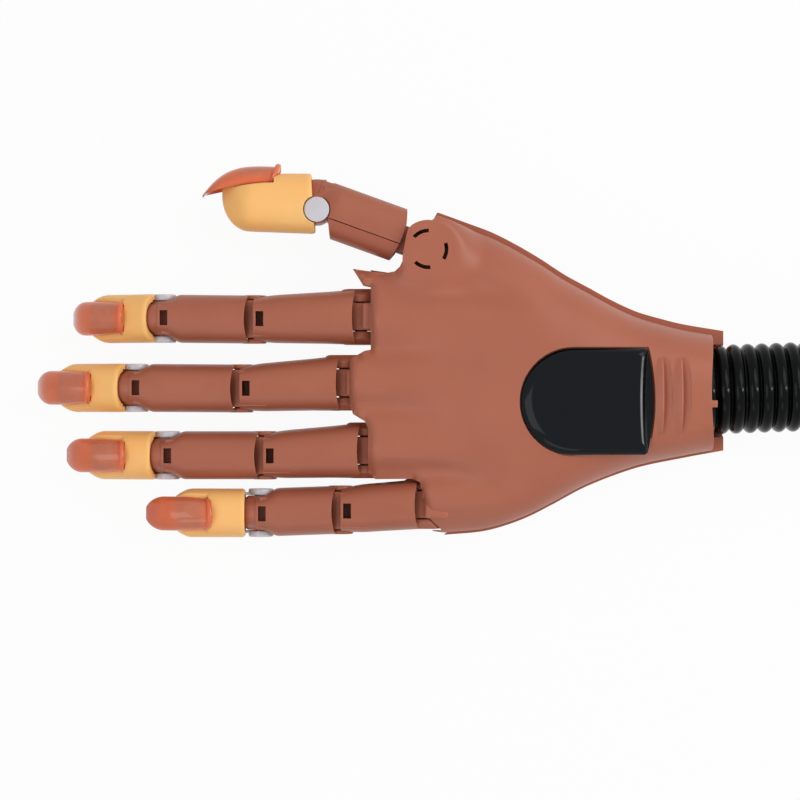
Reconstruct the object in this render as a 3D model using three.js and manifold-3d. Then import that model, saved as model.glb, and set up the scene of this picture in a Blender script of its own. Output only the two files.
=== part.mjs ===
// Nail practice hand: a life-size jointed left hand, palm down, on a ribbed gooseneck with a bench clamp.
// Millimetres, +Z up. The origin is on the palm's flat rest pad, under the middle of the hand.
// +X runs from the fingers to the arm, +Y to the thumb side. Each hinge is built in its own frame:
// x runs distally from the hinge axis, y along the axis, and z to the back of the finger.
import * as THREE from 'three';
import { mergeVertices } from 'three/addons/utils/BufferGeometryUtils.js';
import Module from 'manifold-3d';

// Clearances and facets
const gap = 0.3;            // between pieces that touch
const hingeGap = 0.4;       // round a moving hinge
const ringPoints = 12;      // points round a finger section
const roundSides = 12;      // sides of a hinge barrel
const smallSides = 8;       // sides of a trunnion or screw
const facetError = 0.045;   // how far a facet may be moved to drop slivers left by a cut
const far = 60;             // reach of a cutting block past the solid that it cuts

// Finger sections, measured from the hinge axis
const axisHeight = 15.5;    // finger hinge axes above the rest pad
const backHeight = 10.3;    // axis to the back of a phalanx
const frontDepth = 7.1;     // axis to the palm side of a phalanx
const seamDepth = 1.2;      // axis to the seam between the two shells
const shellWall = 1.6;
const sectionPower = 2.5;   // how square a phalanx section is
const baseWidth = 18;       // phalanx width at a knuckle
const fingerWidth = 15.4;   // phalanx width at the middle and end hinges

// Hinges
const barrelRadius = 6.3;
const trunnionRadius = 2;
const trunnionLength = 1.5;
const knuckleTongueWidth = 8.6;
const knuckleLugRadius = 5.6;
const middleBarrelWidth = 11.9;
const middleCheekRadius = 4;
const endBarrelWidth = 10.8;
const earRadius = 4;
const earThickness = 2;
const backEdge = 2.8;       // hinge axis to the back shell's near edge
const backEdgeSag = 1.1;    // how far that edge curves back at its sides
const middleEdge = -0.2;    // middle hinge to the far edge of the shell behind it
const endEdge = 1.2;        // the same at the end hinge
const nearFrontSeam = 3.2;  // hinge axis to the front shell's near edge, at the seam
const middleFrontEdge = 6;  // the same at the palm side, where the edge leans to let the joint bend
const knuckleFrontEdge = 8;
const farFrontSeam = 4.2;   // the front shell's far edge, set back from the next hinge
const farFrontEdge = 6.9;
const windowLength = 2.5;
const windowWidth = 4.8;
const windowDepth = 5.5;
const windowRim = 0.75;     // window to the back shell's far edge
const flareStart = 5.4;     // the middle phalanx narrows from here to the end hinge
const flareWaist = 3.4;
const flareStep = 0.8;
const flareNeck = 1.2;
const flareNeckWiden = 0.4;
const webRun = 1.2;         // solid web behind a barrel
const webRoof = 2.4;        // web's top below the back of the phalanx
const lugRun = 6;           // hinge axis to the end of a lug's root in the shell
const lugChamfer = 1.8;

// Fingertip caps and nails
const capWidth = 15.5;
const capTop = 11.9;
const capBottom = 6.5;
const capLength = 25.8;
const capRimLean = -0.7;    // how far the rim leans over half a finger cap's height
const thumbRimLean = 0.6;
const capRoom = 0.45;       // between the cap and the end of the phalanx as it turns under it
const capTipRun = 8.6;      // length over which the cap's plan rounds off
const capBellyRun = 11.6;   // the same for its palm side
const capTipLift = 4.6;     // how far the palm side rises past the axis at the tip
const capTipThin = 1.6;     // extra room under the nail at the tip
const coreLength = 17;      // hinge axis to the end of the clear core
const coreTop = 5.4;
const coreDepth = 3.6;
const coreInset = 1.2;      // core's nose inside its ears
const earHalfHeight = 3.2;
const nailBed = 2.2;        // cap surface to the nail's crest
const nailThickness = 0.9;
const nailLength = 22.2;
const nailBow = 1.8;        // how far the base bulges towards the knuckle between its corners
const nailWidth = 11.2;
const nailLip = 0.5;        // how far the lip at the nail's base stands up
const nailSteps = 3;        // facets over half the nail's arch
const nailDrop = 8.8;       // fall of the crest from base to tip
const nailArch = 4.7;       // crest above the side edges at the base
const thumbScale = 1.13;    // thumb nail and cap against a finger's

// Fingers: hinge places on the palm plan, how far the tip droops, and where cap and nail sit
const fingers = [
  {
    name: 'index', knuckle: [-63.7, 23.7], middle: [-98, 22.9], end: [-127, 23.2],
    droop: 23, capSeat: 1.1, nailSeat: 7.6, width: baseWidth,
  },
  {
    name: 'middle', knuckle: [-68.8, 2.6], middle: [-102.3, 0.8], end: [-135.9, 1.0],
    droop: 19, capSeat: 2.1, nailSeat: 9.8, width: baseWidth,
  },
  {
    name: 'ring', knuckle: [-62.1, -19], middle: [-94.7, -20.6], end: [-125.8, -20.6],
    droop: 13, capSeat: 3.0, nailSeat: 9.8, width: baseWidth,
  },
  {
    name: 'little', knuckle: [-43.8, -36.2], middle: [-70.2, -38.1], end: [-95.8, -39],
    droop: 3, capSeat: 4.8, nailSeat: 14, width: 16,
  },
];

// Thumb
const thumbBase = [-42.3, 44.9];
const thumbHinge = [-77.7, 57.7];
const thumbHeight = 16.5;
const thumbReach = Math.hypot(thumbHinge[0] - thumbBase[0], thumbHinge[1] - thumbBase[1]);
const thumbHeading = Math.atan2(thumbHinge[1] - thumbBase[1], thumbHinge[0] - thumbBase[0]);
const thumbRootRadius = 7.4;
const thumbPhalanxStart = 10.6;
const thumbPivotRadius = 2.8;
const thumbNeckEnd = 24;
const thumbCapSeat = 1.3;
const thumbNailSeat = 11.6;

// Palm
const palmSeam = 14;        // height of the seam between the palm's shells
const palmWall = 2.2;
const palmCrown = 33;       // highest point of the back, near the cuff
const knuckleCrown = 27.6;  // height of the back at the knuckles
const palmFlat = 0.4;       // share of the palm's width that is flat to rest on
const palmHollow = [-46, 20]; // the hollow between the palm's shells along x
const tendonHeight = 0.9;
const tendonWidth = 5.5;
const creaseDepth = 2.6;
const creaseWidth = 4.5;
const tongueRun = 12;       // knuckle axis to the root of its tongue
const knuckleSetBack = 5.5; // palm-side shell behind the back shell at the knuckles
const rimWidth = 1.4;       // palm-side shell's lip beyond the back shell
const cuffX = 50;
const cuffLip = 1.8;
const bossRadius = 10;
const bossTop = 27.2;
const bossBottom = 5;
const bossPlate = 2.3;      // thickness of the boss's top and bottom
const slotInner = 5.2;
const slotOuter = 6.4;
const slotSpan = 52;
const slotAngles = [115, -3, 240];
const pivotRoof = 0.9;      // boss's outer skin over the thumb's pivot

// Cover on the back of the wrist, and the grip ridges behind it
const coverCentre = [3.6, -3.4];
const coverRadius = 16.8;
const coverEnd = 26.7;
const coverSlack = 1.9;     // gap at the straight edge, where a fingernail lifts it
const coverThickness = 3;
const coverProud = 0.3;
const coverBevel = 1.2;
const coverBevelWidth = 2.4;
const ridgePlaces = [31.8, 37.9];
const ridgeLength = 25;
const ridgeWidth = 2.6;
const ridgeHeight = 0.9;

// Palm screws
const screwPlaces = [[28, 17], [28, -17.5], [-34, 26], [-26, -30]];
const screwHeadRadius = 2.9;
const screwShankRadius = 1.5;
const screwPostRadius = 4.2;
const screwHeadDepth = 3.4;
const screwTop = 22;

// Gooseneck
const sleeveRadius = 14.35;
const sleeveValley = 12.6;
const sleeveBore = 10.6;
const ribPitch = 4.57;
const ribsPerSection = 16;
const sectionCount = 3;
const sleevePoints = 10;
const armStart = 40;        // where the sleeve begins, inside the cuff
const armHeight = 16.5;
const armSlope = 0.04;      // sideways lean of the arm where it leaves the cuff
const cuffSlack = 0.8;      // round the sleeve in the cuff's bore
const coreRadius = 7;
const coreStart = 26;       // where the core begins, in the palm
const collarLength = 5;

// Bench clamp, lying on its side
const clampWidth = 33;
const socketOverlap = 8;    // sleeve inside the clamp's socket
const socketFloor = 14;     // sleeve's end to the clamp's fixed jaw
const socketCore = 11;      // core past the sleeve's end
const jawThickness = 11;
const jawPadThickness = 2;
const screwOffset = 14;     // arm's axis to the screw's
const spineOffset = 14;     // arm's axis to the inside of the spine
const clampBossRadius = 9;
const jawOpening = 52;
const throatDepth = 44;
const spineThickness = 13;
const socketRadius = 16.5;
const clampScrewRadius = 5;
const clampScrewSides = 16;
const padRadius = 12;
const padThickness = 5;
const padTravelGap = 16;    // pad to the fixed jaw at rest
const knobRadius = 15;
const knobLength = 16;
const knobSocket = 12;
const knobStandoff = 20;    // knob to the frame at rest, room to close the jaw
const knobLobes = 6;
const knobWave = 1.5;
const clampRib = 3;         // rim left round the frame's web
const clampRibDepth = 4;
const bossStand = 3;        // screw boss past the frame
const screwSeat = 3;        // screw's end inside the pad

const wasm = await Module();
wasm.setup();

// Solids and meshes

// A closed three.js geometry as a solid that can be joined and cut.
function solid(geometry) {
  const bare = geometry.index ? geometry.clone() : geometry;
  bare.deleteAttribute('normal');
  bare.deleteAttribute('uv');
  const merged = mergeVertices(bare, 1e-5);
  return new wasm.Manifold(new wasm.Mesh({
    numProp: 3,
    vertProperties: new Float32Array(merged.attributes.position.array),
    triVerts: new Uint32Array(merged.index.array),
  }));
}

// A solid back as a geometry.
function geometryOf(shape) {
  const mesh = shape.simplify(facetError).getMesh();
  const count = mesh.vertProperties.length / mesh.numProp;
  const position = new Float32Array(count * 3);
  for (let i = 0; i < count; i += 1) {
    for (let k = 0; k < 3; k += 1) {
      position[3 * i + k] = mesh.vertProperties[mesh.numProp * i + k];
    }
  }
  const geometry = new THREE.BufferGeometry();
  geometry.setAttribute('position', new THREE.BufferAttribute(position, 3));
  geometry.setIndex(Array.from(mesh.triVerts));
  return geometry;
}

// Rings of points joined one to the next, with a flat cap at each end.
function loft(rings) {
  const count = rings[0].length;
  const position = rings.flat().flatMap((p) => [p.x, p.y, p.z]);
  const index = [];
  for (let r = 0; r + 1 < rings.length; r += 1) {
    for (let i = 0; i < count; i += 1) {
      const a = r * count + i;
      const b = r * count + (i + 1) % count;
      index.push(a, b, b + count, a, b + count, a + count);
    }
  }
  const contour = rings[0].map((p) => new THREE.Vector2(p.y, p.z));
  for (const [a, b, c] of THREE.ShapeUtils.triangulateShape(contour, [])) {
    const end = (rings.length - 1) * count;
    index.push(c, b, a);
    index.push(end + a, end + b, end + c);
  }
  const geometry = new THREE.BufferGeometry();
  geometry.setAttribute('position', new THREE.Float32BufferAttribute(position, 3));
  geometry.setIndex(index);
  return solid(geometry);
}

function block(x0, x1, y0, y1, z0, z1) {
  const geometry = new THREE.BoxGeometry(x1 - x0, y1 - y0, z1 - z0);
  return solid(geometry.translate((x0 + x1) / 2, (y0 + y1) / 2, (z0 + z1) / 2));
}

// A cylinder along Y, centred at (x, z), from y0 to y1.
function drumY(radius, x, z, y0, y1, sides = roundSides) {
  const geometry = new THREE.CylinderGeometry(radius, radius, y1 - y0, sides);
  return solid(geometry.translate(x, (y0 + y1) / 2, z));
}

function drumZ(radius, x, y, z0, z1, sides = roundSides, topRadius = radius) {
  const geometry = new THREE.CylinderGeometry(topRadius, radius, z1 - z0, sides);
  return solid(geometry.rotateX(Math.PI / 2).translate(x, y, (z0 + z1) / 2));
}

function drumX(radius, y, z, x0, x1, sides = roundSides, endRadius = radius) {
  const geometry = new THREE.CylinderGeometry(endRadius, radius, x1 - x0, sides);
  return solid(geometry.rotateZ(-Math.PI / 2).translate((x0 + x1) / 2, y, z));
}

function prism(shape, z0, z1, curveSegments = 8) {
  const geometry = new THREE.ExtrudeGeometry(shape, { depth: z1 - z0, bevelEnabled: false, curveSegments });
  return solid(geometry.translate(0, 0, z0));
}

// A plate cut to an outline of [x, z] points, from y0 to y1.
function plateXZ(points, y0, y1) {
  const shape = new THREE.Shape(points.map(([x, z]) => new THREE.Vector2(x, z)));
  const geometry = new THREE.ExtrudeGeometry(shape, { depth: y1 - y0, bevelEnabled: false });
  return solid(geometry.rotateX(Math.PI / 2).translate(0, y1, 0));
}

const mirrorY = (shape) => shape.mirror([0, 1, 0]);
const bothSides = (shape) => shape.add(mirrorY(shape));

// A rounded section across x, with its own height above and below the axis.
function sectionRing(x, centreY, halfWidth, top, bottom, points = ringPoints, power = sectionPower) {
  const ring = [];
  for (let i = 0; i < points; i += 1) {
    const turn = (i + 0.5) / points * 2 * Math.PI;
    const across = Math.sign(Math.cos(turn)) * Math.abs(Math.cos(turn)) ** (2 / power);
    const up = Math.sign(Math.sin(turn)) * Math.abs(Math.sin(turn)) ** (2 / power);
    ring.push(new THREE.Vector3(x, centreY + halfWidth * across, (up > 0 ? top : bottom) * up));
  }
  return ring;
}

// Materials and placing

const skin = { color: 0xa86650, roughness: 0.55 };
const skinDeep = { color: 0xa05f4b, roughness: 0.55 };
const softTip = { color: 0xf8b670, roughness: 0.5 };
const nailColour = { color: 0xc86e55, roughness: 0.2 };
const clearWhite = { color: 0xd2d0d4, roughness: 0.3 };
const blackGloss = { color: 0x202426, roughness: 0.15 };
const hoseBlack = { color: 0x191b1d, roughness: 0.3 };
const steel = { color: 0x9a9ca0, roughness: 0.35, metalness: 1 };
const clampBlack = { color: 0x1d1e20, roughness: 0.45 };

const hand = new THREE.Group();

function place(group, name, shape, look) {
  const mesh = new THREE.Mesh(geometryOf(shape), new THREE.MeshStandardMaterial({ metalness: 0, ...look }));
  mesh.name = name;
  group.add(mesh);
}

// A group whose x runs along heading and whose z runs to the back of the finger.
function hingeFrame(position, heading, back) {
  const group = new THREE.Group();
  const side = new THREE.Vector3().crossVectors(back, heading);
  group.quaternion.setFromRotationMatrix(new THREE.Matrix4().makeBasis(heading, side, back));
  group.position.copy(position);
  hand.add(group);
  return group;
}

// Turns a group made by hingeFrame about its own hinge axis, towards the palm side.
function bend(group, degrees) {
  group.rotateY(THREE.MathUtils.degToRad(degrees));
  return group;
}

// Phalanges: two half shells with a barrel at the far end and lugs or cheeks at the near end

// The outline of a phalanx, swollen by grow, from one hinge to the next.
function phalanxBody(spec, start, end, grow = 0) {
  const { length, shift, nearWidth, farWidth, flare } = spec;
  const stations = [[start, nearWidth / 2]];
  if (start < 0.3 * length) stations.push([0.3 * length, nearWidth / 2 - 0.25 * (nearWidth - farWidth)]);
  if (flare) {
    stations.push([length - flareStart, farWidth / 2], [length - flareWaist, farWidth / 2 - flareStep]);
    stations.push([length - flareNeck, endBarrelWidth / 2 + flareNeckWiden]);
    stations.push([length + endEdge, endBarrelWidth / 2]);
  } else {
    stations.push([length - 7, farWidth / 2], [length + middleEdge, farWidth / 2 - 0.7]);
  }
  const kept = stations.filter(([x]) => x <= end);
  if (kept[kept.length - 1][0] < end) kept.push([end, kept[kept.length - 1][1]]);
  return loft(kept.map(([x, half]) => sectionRing(
    x, shift * x / length, half + grow, backHeight + grow, frontDepth + grow)));
}

function phalanx(spec) {
  const { length, shift, knuckle, flare, rooted } = spec;
  const edge = flare ? endEdge : middleEdge;
  const barrelWidth = flare ? endBarrelWidth : middleBarrelWidth;
  const nearClear = knuckle ? knuckleTongueWidth / 2 + hingeGap : middleBarrelWidth / 2 + gap;
  const lugRadius = knuckle ? knuckleLugRadius : middleCheekRadius;
  const lugOuter = spec.nearWidth / 2 - (knuckle ? 0.1 : 0);
  const bay = length - barrelRadius - webRun;

  const outer = phalanxBody(spec, rooted ? thumbPhalanxStart : backEdge - backEdgeSag, length + edge);
  const hollow = phalanxBody(spec, -0.5, bay, -shellWall);
  let back = outer.subtract(hollow).subtract(block(-far, far, -far, far, -far, -seamDepth));
  // the near edge curves in between its sides
  const sweep = (spec.nearWidth ** 2 / 4 + backEdgeSag ** 2) / (2 * backEdgeSag);
  if (!rooted) back = back.subtract(drumZ(sweep, backEdge - sweep, 0, -far, far, 48));
  if (!rooted) back = back.subtract(drumY(barrelRadius + hingeGap, 0, 0, -nearClear, nearClear));
  // room for the cheeks or ears of the next piece
  const nextRadius = flare ? earRadius : middleCheekRadius;
  back = back.subtract(bothSides(drumY(nextRadius + hingeGap, length, 0, barrelWidth / 2, far))
    .translate([0, shift, 0]));
  // barrel, with a web up to the roof and a blind trunnion hole at each side
  const half = barrelWidth / 2;
  let barrel = drumY(barrelRadius, length, 0, -half, half);
  const web = block(bay - 1, length, -half + 0.4, half - 0.4, -seamDepth, backHeight - webRoof);
  barrel = barrel.add(web);
  const hole = drumY(trunnionRadius + gap, length, 0, half - trunnionLength - gap, half + 1, smallSides);
  back = back.add(barrel.translate([0, shift, 0])).subtract(bothSides(hole).translate([0, shift, 0]));
  // the square window over the hinge
  const windowEnd = length + edge - windowRim;
  back = back.subtract(block(windowEnd - windowLength, windowEnd, shift - windowWidth / 2,
    shift + windowWidth / 2, backHeight - windowDepth, far));
  // lugs or cheeks that straddle the barrel behind, with trunnions on their inner faces
  let lug = drumY(lugRadius, 0, 0, nearClear, lugOuter)
    .add(block(0, lugRun, nearClear, lugOuter - 0.3, -seamDepth, lugRadius * 0.86));
  if (knuckle) {
    // each knuckle lug is chamfered towards its outer top edge
    const chamfer = new THREE.BoxGeometry(far, far, far).translate(0, 0, far / 2)
      .rotateX(-Math.PI / 4).translate(0, lugOuter - 0.2, lugRadius - lugChamfer);
    lug = lug.subtract(solid(chamfer));
  }
  lug = lug.add(drumY(trunnionRadius, 0, 0, nearClear - trunnionLength, nearClear + 0.5, smallSides));
  if (!rooted) back = back.add(bothSides(lug));

  let front = outer.subtract(hollow).subtract(block(-far, far, -far, far, -seamDepth - gap, far));
  const nearBottom = knuckle ? knuckleFrontEdge : middleFrontEdge;
  if (!rooted) front = front.subtract(frontCut(nearFrontSeam, nearBottom, -far));
  front = front.subtract(frontCut(length - farFrontSeam, length - farFrontEdge, length + far));
  // room for the barrel behind and for the lugs beside it
  front = front.subtract(drumY(barrelRadius + hingeGap, 0, 0, -nearClear, nearClear));
  front = front.subtract(drumY(lugRadius + gap, 0, 0, -far, far));
  front = front.subtract(drumY(barrelRadius + gap, length, 0, shift - half - gap, shift + half + gap));
  const beside = half + gap;
  front = front.subtract(block(bay - 1 - gap, length, shift - beside, shift + beside, -seamDepth - gap, 0));
  return { back, front };
}

// What a front shell loses beyond the line from its seam edge to its palm-side edge.
function frontCut(seamX, palmX, reachX) {
  const edge = [[seamX, far], [seamX, -seamDepth], [palmX, -frontDepth], [palmX, -far]];
  return plateXZ([[reachX, far], ...edge, [reachX, -far]], -far, far);
}

// Fingertips: a clear core with two ears, a soft cap over it and a press-on nail

// Height of the nail's crest and of its side edges, and its half width, a share t along it.
const nailCrest = (t) => -nailDrop * t ** 2.6;
const nailEdge = (t) => -nailArch - (nailDrop - nailArch) * t * t;
function nailHalf(t) {
  const swell = 0.86 + 0.14 * Math.sin(Math.min(t / 0.6, 1) * Math.PI / 2);
  const tip = t > 0.72 ? Math.sqrt(Math.max(1 - ((t - 0.72) / 0.3) ** 2, 0.02)) : 1;
  return nailWidth / 2 * swell * tip;
}

// The cap's section at x from the hinge: half width, top and bottom.
function capRing(x, { capSeat, nailSeat, scale }) {
  const end = capSeat + capLength * scale;
  const t = THREE.MathUtils.clamp((x - nailSeat) / (nailLength * scale), 0, 1);
  const widthRun = THREE.MathUtils.clamp((x - end) / (capTipRun * scale) + 1, 0, 0.99);
  const bellyRun = THREE.MathUtils.clamp((x - end) / (capBellyRun * scale) + 1, 0, 0.99);
  const half = scale * capWidth / 2 * (1 - widthRun ** 1.6) ** 0.7;
  const roll = 1 - Math.sqrt(1 - bellyRun * bellyRun);
  const top = capTop + scale * nailCrest(t) - capTipThin * t;
  const bottom = scale * capBottom - roll * (scale * capBottom + capTipLift);
  return { half, top, bottom };
}

function cap(tip) {
  const stations = [0, 0.35, 0.58, 0.74, 0.86, 0.95, 1];
  const middle = (capTop - capBottom) / 2;
  const ring = (x) => {
    const { half, top, bottom } = capRing(x, tip);
    const centre = (top - bottom) / 2;
    return sectionRing(x, 0, half, (top + bottom) / 2, (top + bottom) / 2)
      .map((p) => new THREE.Vector3(p.x, p.y, p.z + centre));
  };
  const rings = stations.map((share) => ring(tip.capSeat + share * capLength * tip.scale));
  rings[0].forEach((p) => { p.x += tip.rimLean * (p.z - middle) / ((capTop + capBottom) / 2); });
  let body = loft(rings);
  body = body.subtract(nailBedRoom(tip)).subtract(coreShape(gap)).subtract(phalanxEndRoom());
  return body.subtract(drumY(earRadius + gap, 0, 0, -far, far));
}

// The space that the crowned end of the phalanx behind sweeps inside a cap.
function phalanxEndRoom() {
  const half = endBarrelWidth / 2 + hingeGap;
  const profile = [new THREE.Vector2(0, -half)];
  for (let i = 0; i <= 8; i += 1) {
    const y = half * (i / 4 - 1);
    const crown = backHeight * (1 - Math.min(Math.abs(y) / half, 0.99) ** sectionPower) ** (1 / sectionPower);
    profile.push(new THREE.Vector2(Math.max(crown + capRoom, barrelRadius + hingeGap), y));
  }
  profile.push(new THREE.Vector2(0, half));
  return solid(new THREE.LatheGeometry(profile, 16));
}

// The core without its trunnions, swollen by grow; the cap's hollow is the same shape.
function coreShape(grow) {
  const earInner = endBarrelWidth / 2 + gap - grow;
  const earOuter = endBarrelWidth / 2 + gap + earThickness + grow;
  const earHeight = earHalfHeight + grow;
  const blockStart = barrelRadius + hingeGap;
  const blockEnd = coreLength + grow;
  const ear = drumY(earRadius + grow, 0, 0, earInner, earOuter)
    .add(block(0, blockStart + 2, earInner, earOuter, -earHeight, earHeight));
  const noseHalf = earOuter - coreInset;
  const noseStart = grow ? 0 : blockStart;
  const nose = block(noseStart, blockEnd, -noseHalf, noseHalf, -coreDepth - grow, coreTop + grow);
  const neck = block(blockStart, blockStart + 4, -earOuter, earOuter, -earHeight, earHeight);
  return bothSides(ear).add(nose).add(neck);
}

function tipCore() {
  const earInner = endBarrelWidth / 2 + gap;
  const trunnion = drumY(trunnionRadius, 0, 0, earInner - trunnionLength, earInner + 0.5, smallSides);
  const clear = drumY(barrelRadius + hingeGap, 0, 0, -earInner + 0.01, earInner - 0.01);
  return coreShape(0).subtract(clear).add(bothSides(trunnion));
}

// Half of the nail's cross section a share t along it: [y, z] points from its edge to its crest.
function nailArc(t, inner) {
  const half = nailHalf(t);
  const shrink = inner ? (half - nailThickness) / half : 1;
  const depth = (nailCrest(t) - nailEdge(t)) * shrink;
  const arc = [];
  for (let i = 0; i <= nailSteps; i += 1) {
    const turn = i / nailSteps * Math.PI / 2;
    const height = nailCrest(t) - depth * (1 - Math.sin(turn)) - (inner ? nailThickness : 0);
    arc.push([half * shrink * Math.cos(turn), height]);
  }
  return arc;
}

const nailStations = [0, 0.05, 0.35, 0.6, 0.8, 0.93, 1];
const acrossNail = (arc) => arc.concat([...arc].reverse().slice(1).map(([y, z]) => [-y, z]));

// A point of the nail: a share t along it, y across it and z from its crest at the base.
function nailPoint({ nailSeat, scale }, t, y, z) {
  const bow = nailBow * (1 - t) ** 3 * (Math.abs(y) / nailHalf(t)) ** 2;
  return new THREE.Vector3(nailSeat + scale * (t * nailLength + bow), scale * y, capTop + nailBed + scale * z);
}

// A curved press-on nail with a raised lip at its base.
function nail(tip) {
  return loft(nailStations.map((t) => {
    const lip = t === 0 ? nailLip : 0;
    const outer = acrossNail(nailArc(t, false)).map(([y, z]) => [y, z + lip]);
    return outer.concat(acrossNail(nailArc(t, true)).reverse()).map(([y, z]) => nailPoint(tip, t, y, z));
  }));
}

// The space that a nail takes out of the cap below it: its own underside, lowered by the gap.
function nailBedRoom(tip) {
  const lowered = new THREE.Vector3(0, 0, gap);
  return loft(nailStations.map((t) => {
    const half = nailHalf(t) + gap;
    const under = acrossNail(nailArc(t, true)).reverse();
    const edge = under[0][1];
    const outline = [[half, edge], [half, 30], [-half, 30], [-half, edge]].concat(under);
    return outline.map(([y, z]) => {
      const p = nailPoint(tip, t, y, z).sub(lowered);
      p.x += gap * (2 * t - 1);
      return p;
    });
  }));
}

function fingertip(group, name, tip) {
  place(group, `${name}_tip_core`, tipCore(), clearWhite);
  place(group, `${name}_cap`, cap(tip), softTip);
  place(group, `${name}_nail`, nail(tip), nailColour);
}

// Fingers

const distalOfHand = new THREE.Vector3(-1, 0, 0);
const backOfHand = new THREE.Vector3(0, 0, 1);

function finger({ name, knuckle, middle, end, droop, capSeat, nailSeat, width }) {
  const at = ([x, y]) => hingeFrame(new THREE.Vector3(x, y, axisHeight), distalOfHand, backOfHand);
  const first = phalanx({
    length: knuckle[0] - middle[0], shift: knuckle[1] - middle[1],
    nearWidth: width, farWidth: fingerWidth, knuckle: true, flare: false,
  });
  const firstGroup = at(knuckle);
  place(firstGroup, `${name}_proximal_back`, first.back, skin);
  place(firstGroup, `${name}_proximal_front`, first.front, skinDeep);
  const second = phalanx({
    length: middle[0] - end[0], shift: middle[1] - end[1],
    nearWidth: fingerWidth, farWidth: fingerWidth, knuckle: false, flare: true,
  });
  const secondGroup = at(middle);
  place(secondGroup, `${name}_middle_back`, second.back, skin);
  place(secondGroup, `${name}_middle_front`, second.front, skinDeep);
  fingertip(bend(at(end), droop), name, { capSeat, nailSeat, scale: 1, rimLean: capRimLean });
}
fingers.forEach(finger);

// Palm: the outline of the back shell on the plan, anticlockwise from the cuff's little-finger corner

const thumbSide = [
  [51.7, 17.6], [40.2, 19.5], [32.4, 21.4], [24.7, 23.7], [17, 27.2], [9.3, 31.4],
  [1.6, 35.6], [-6.2, 40.7], [-13.9, 45.2], [-21.6, 49.1], [-29.3, 52], [-39.2, 55.6],
];
const littleSide = [
  [-37, -45.5], [-25.5, -44.5], [-17.7, -42.6], [-10, -39.7], [-2.3, -35.8], [9.3, -29.7],
  [24.7, -24], [40.2, -20.7], [51.3, -18.6],
];
const knuckleSteps = [
  [-57.6, 38.4], [-66.2, 38.9], [-63, 33.8], [-60.5, 33.3], [-60.5, 13.1], [-62.5, 12.7], [-66, 10.7],
  [-67.2, 9.9], [-67.2, -4.2], [-66.1, -7.4], [-62.3, -9.7], [-61.3, -12.2], [-61.3, -25.9], [-59.1, -28.1],
  [-47.4, -28], [-44.8, -29], [-42.2, -43], [-40.6, -45],
];

// Points along a smooth line through a few given ones.
function smoothLine(points, steps) {
  const curve = new THREE.SplineCurve(points.map(([x, y]) => new THREE.Vector2(x, y)));
  return curve.getPoints(steps);
}

// The palm's plan: rim widens the thumb side and the cuff, and back draws the knuckle edge towards the arm.
function palmPlan(rim, back) {
  const shape = new THREE.Shape();
  const upper = smoothLine(thumbSide, 14).map((p) => new THREE.Vector2(p.x, p.y + rim));
  const lower = smoothLine(littleSide, 12).map((p) => new THREE.Vector2(p.x, p.y - 0.4 * rim));
  shape.setFromPoints(upper);
  const [bossX, bossY] = thumbBase;
  shape.absarc(bossX, bossY, bossRadius, THREE.MathUtils.degToRad(82), THREE.MathUtils.degToRad(205), false);
  knuckleSteps.forEach(([x, y]) => shape.lineTo(x + back, y));
  lower.forEach((p) => shape.lineTo(p.x, p.y));
  return shape;
}

// Where the palm's two long sides lie at x; past their ends they run on to the fingers.
function sideAt(points, x) {
  const sorted = [...points].sort((p, q) => p[0] - q[0]);
  const last = sorted.length - 1;
  if (x <= sorted[0][0]) return sorted[0][1];
  if (x >= sorted[last][0]) return sorted[last][1];
  const k = sorted.findIndex(([px]) => px > x);
  const [x0, y0] = sorted[k - 1];
  const [x1, y1] = sorted[k];
  return y0 + (y1 - y0) * (x - x0) / (x1 - x0);
}

const ease = (t) => {
  const s = THREE.MathUtils.clamp(t, 0, 1);
  return s * s * (3 - 2 * s);
};

// Height of the back of the hand: a crown over the width, tendons to the knuckles, a crease by the thumb.
function backAt(x, y) {
  const upper = sideAt(thumbSide, x);
  const lower = sideAt(littleSide, x);
  const u = THREE.MathUtils.clamp((2 * y - upper - lower) / (upper - lower), -1, 1);
  const crown = knuckleCrown + (palmCrown - knuckleCrown) * ease((x + 62) / 70);
  let z = palmSeam + (crown - palmSeam) * (1 - Math.abs(u) ** 3) ** 0.5;
  const nearKnuckles = ease((-18 - x) / 40);
  for (const { knuckle } of fingers) {
    z += tendonHeight * nearKnuckles * Math.exp(-(((y - knuckle[1]) / tendonWidth) ** 2));
  }
  const crease = 36 - 0.22 * (x + 50);
  const creaseFade = ease((-8 - x) / 22);
  z -= creaseDepth * creaseFade * Math.exp(-(((y - crease) / creaseWidth) ** 2));
  return z;
}

// The back of the hand as a solid down to base, drawn in by inset on its top and sides.
function backSolid(fromX, toX, base, inset, stations = 12) {
  const rings = [];
  for (let i = 0; i <= stations; i += 1) {
    const x = fromX + (toX - fromX) * i / stations;
    const upper = sideAt(thumbSide, x) - inset;
    const lower = sideAt(littleSide, x) + inset;
    const ring = [new THREE.Vector3(x, lower, base), new THREE.Vector3(x, upper, base)];
    const across = 12;
    for (let k = 0; k <= across; k += 1) {
      const y = (upper + lower) / 2 + (upper - lower) / 2 * Math.cos(k / across * Math.PI);
      ring.push(new THREE.Vector3(x, y, Math.max(backAt(x, y) - inset, base + 0.5)));
    }
    rings.push(ring);
  }
  return loft(rings);
}

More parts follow.
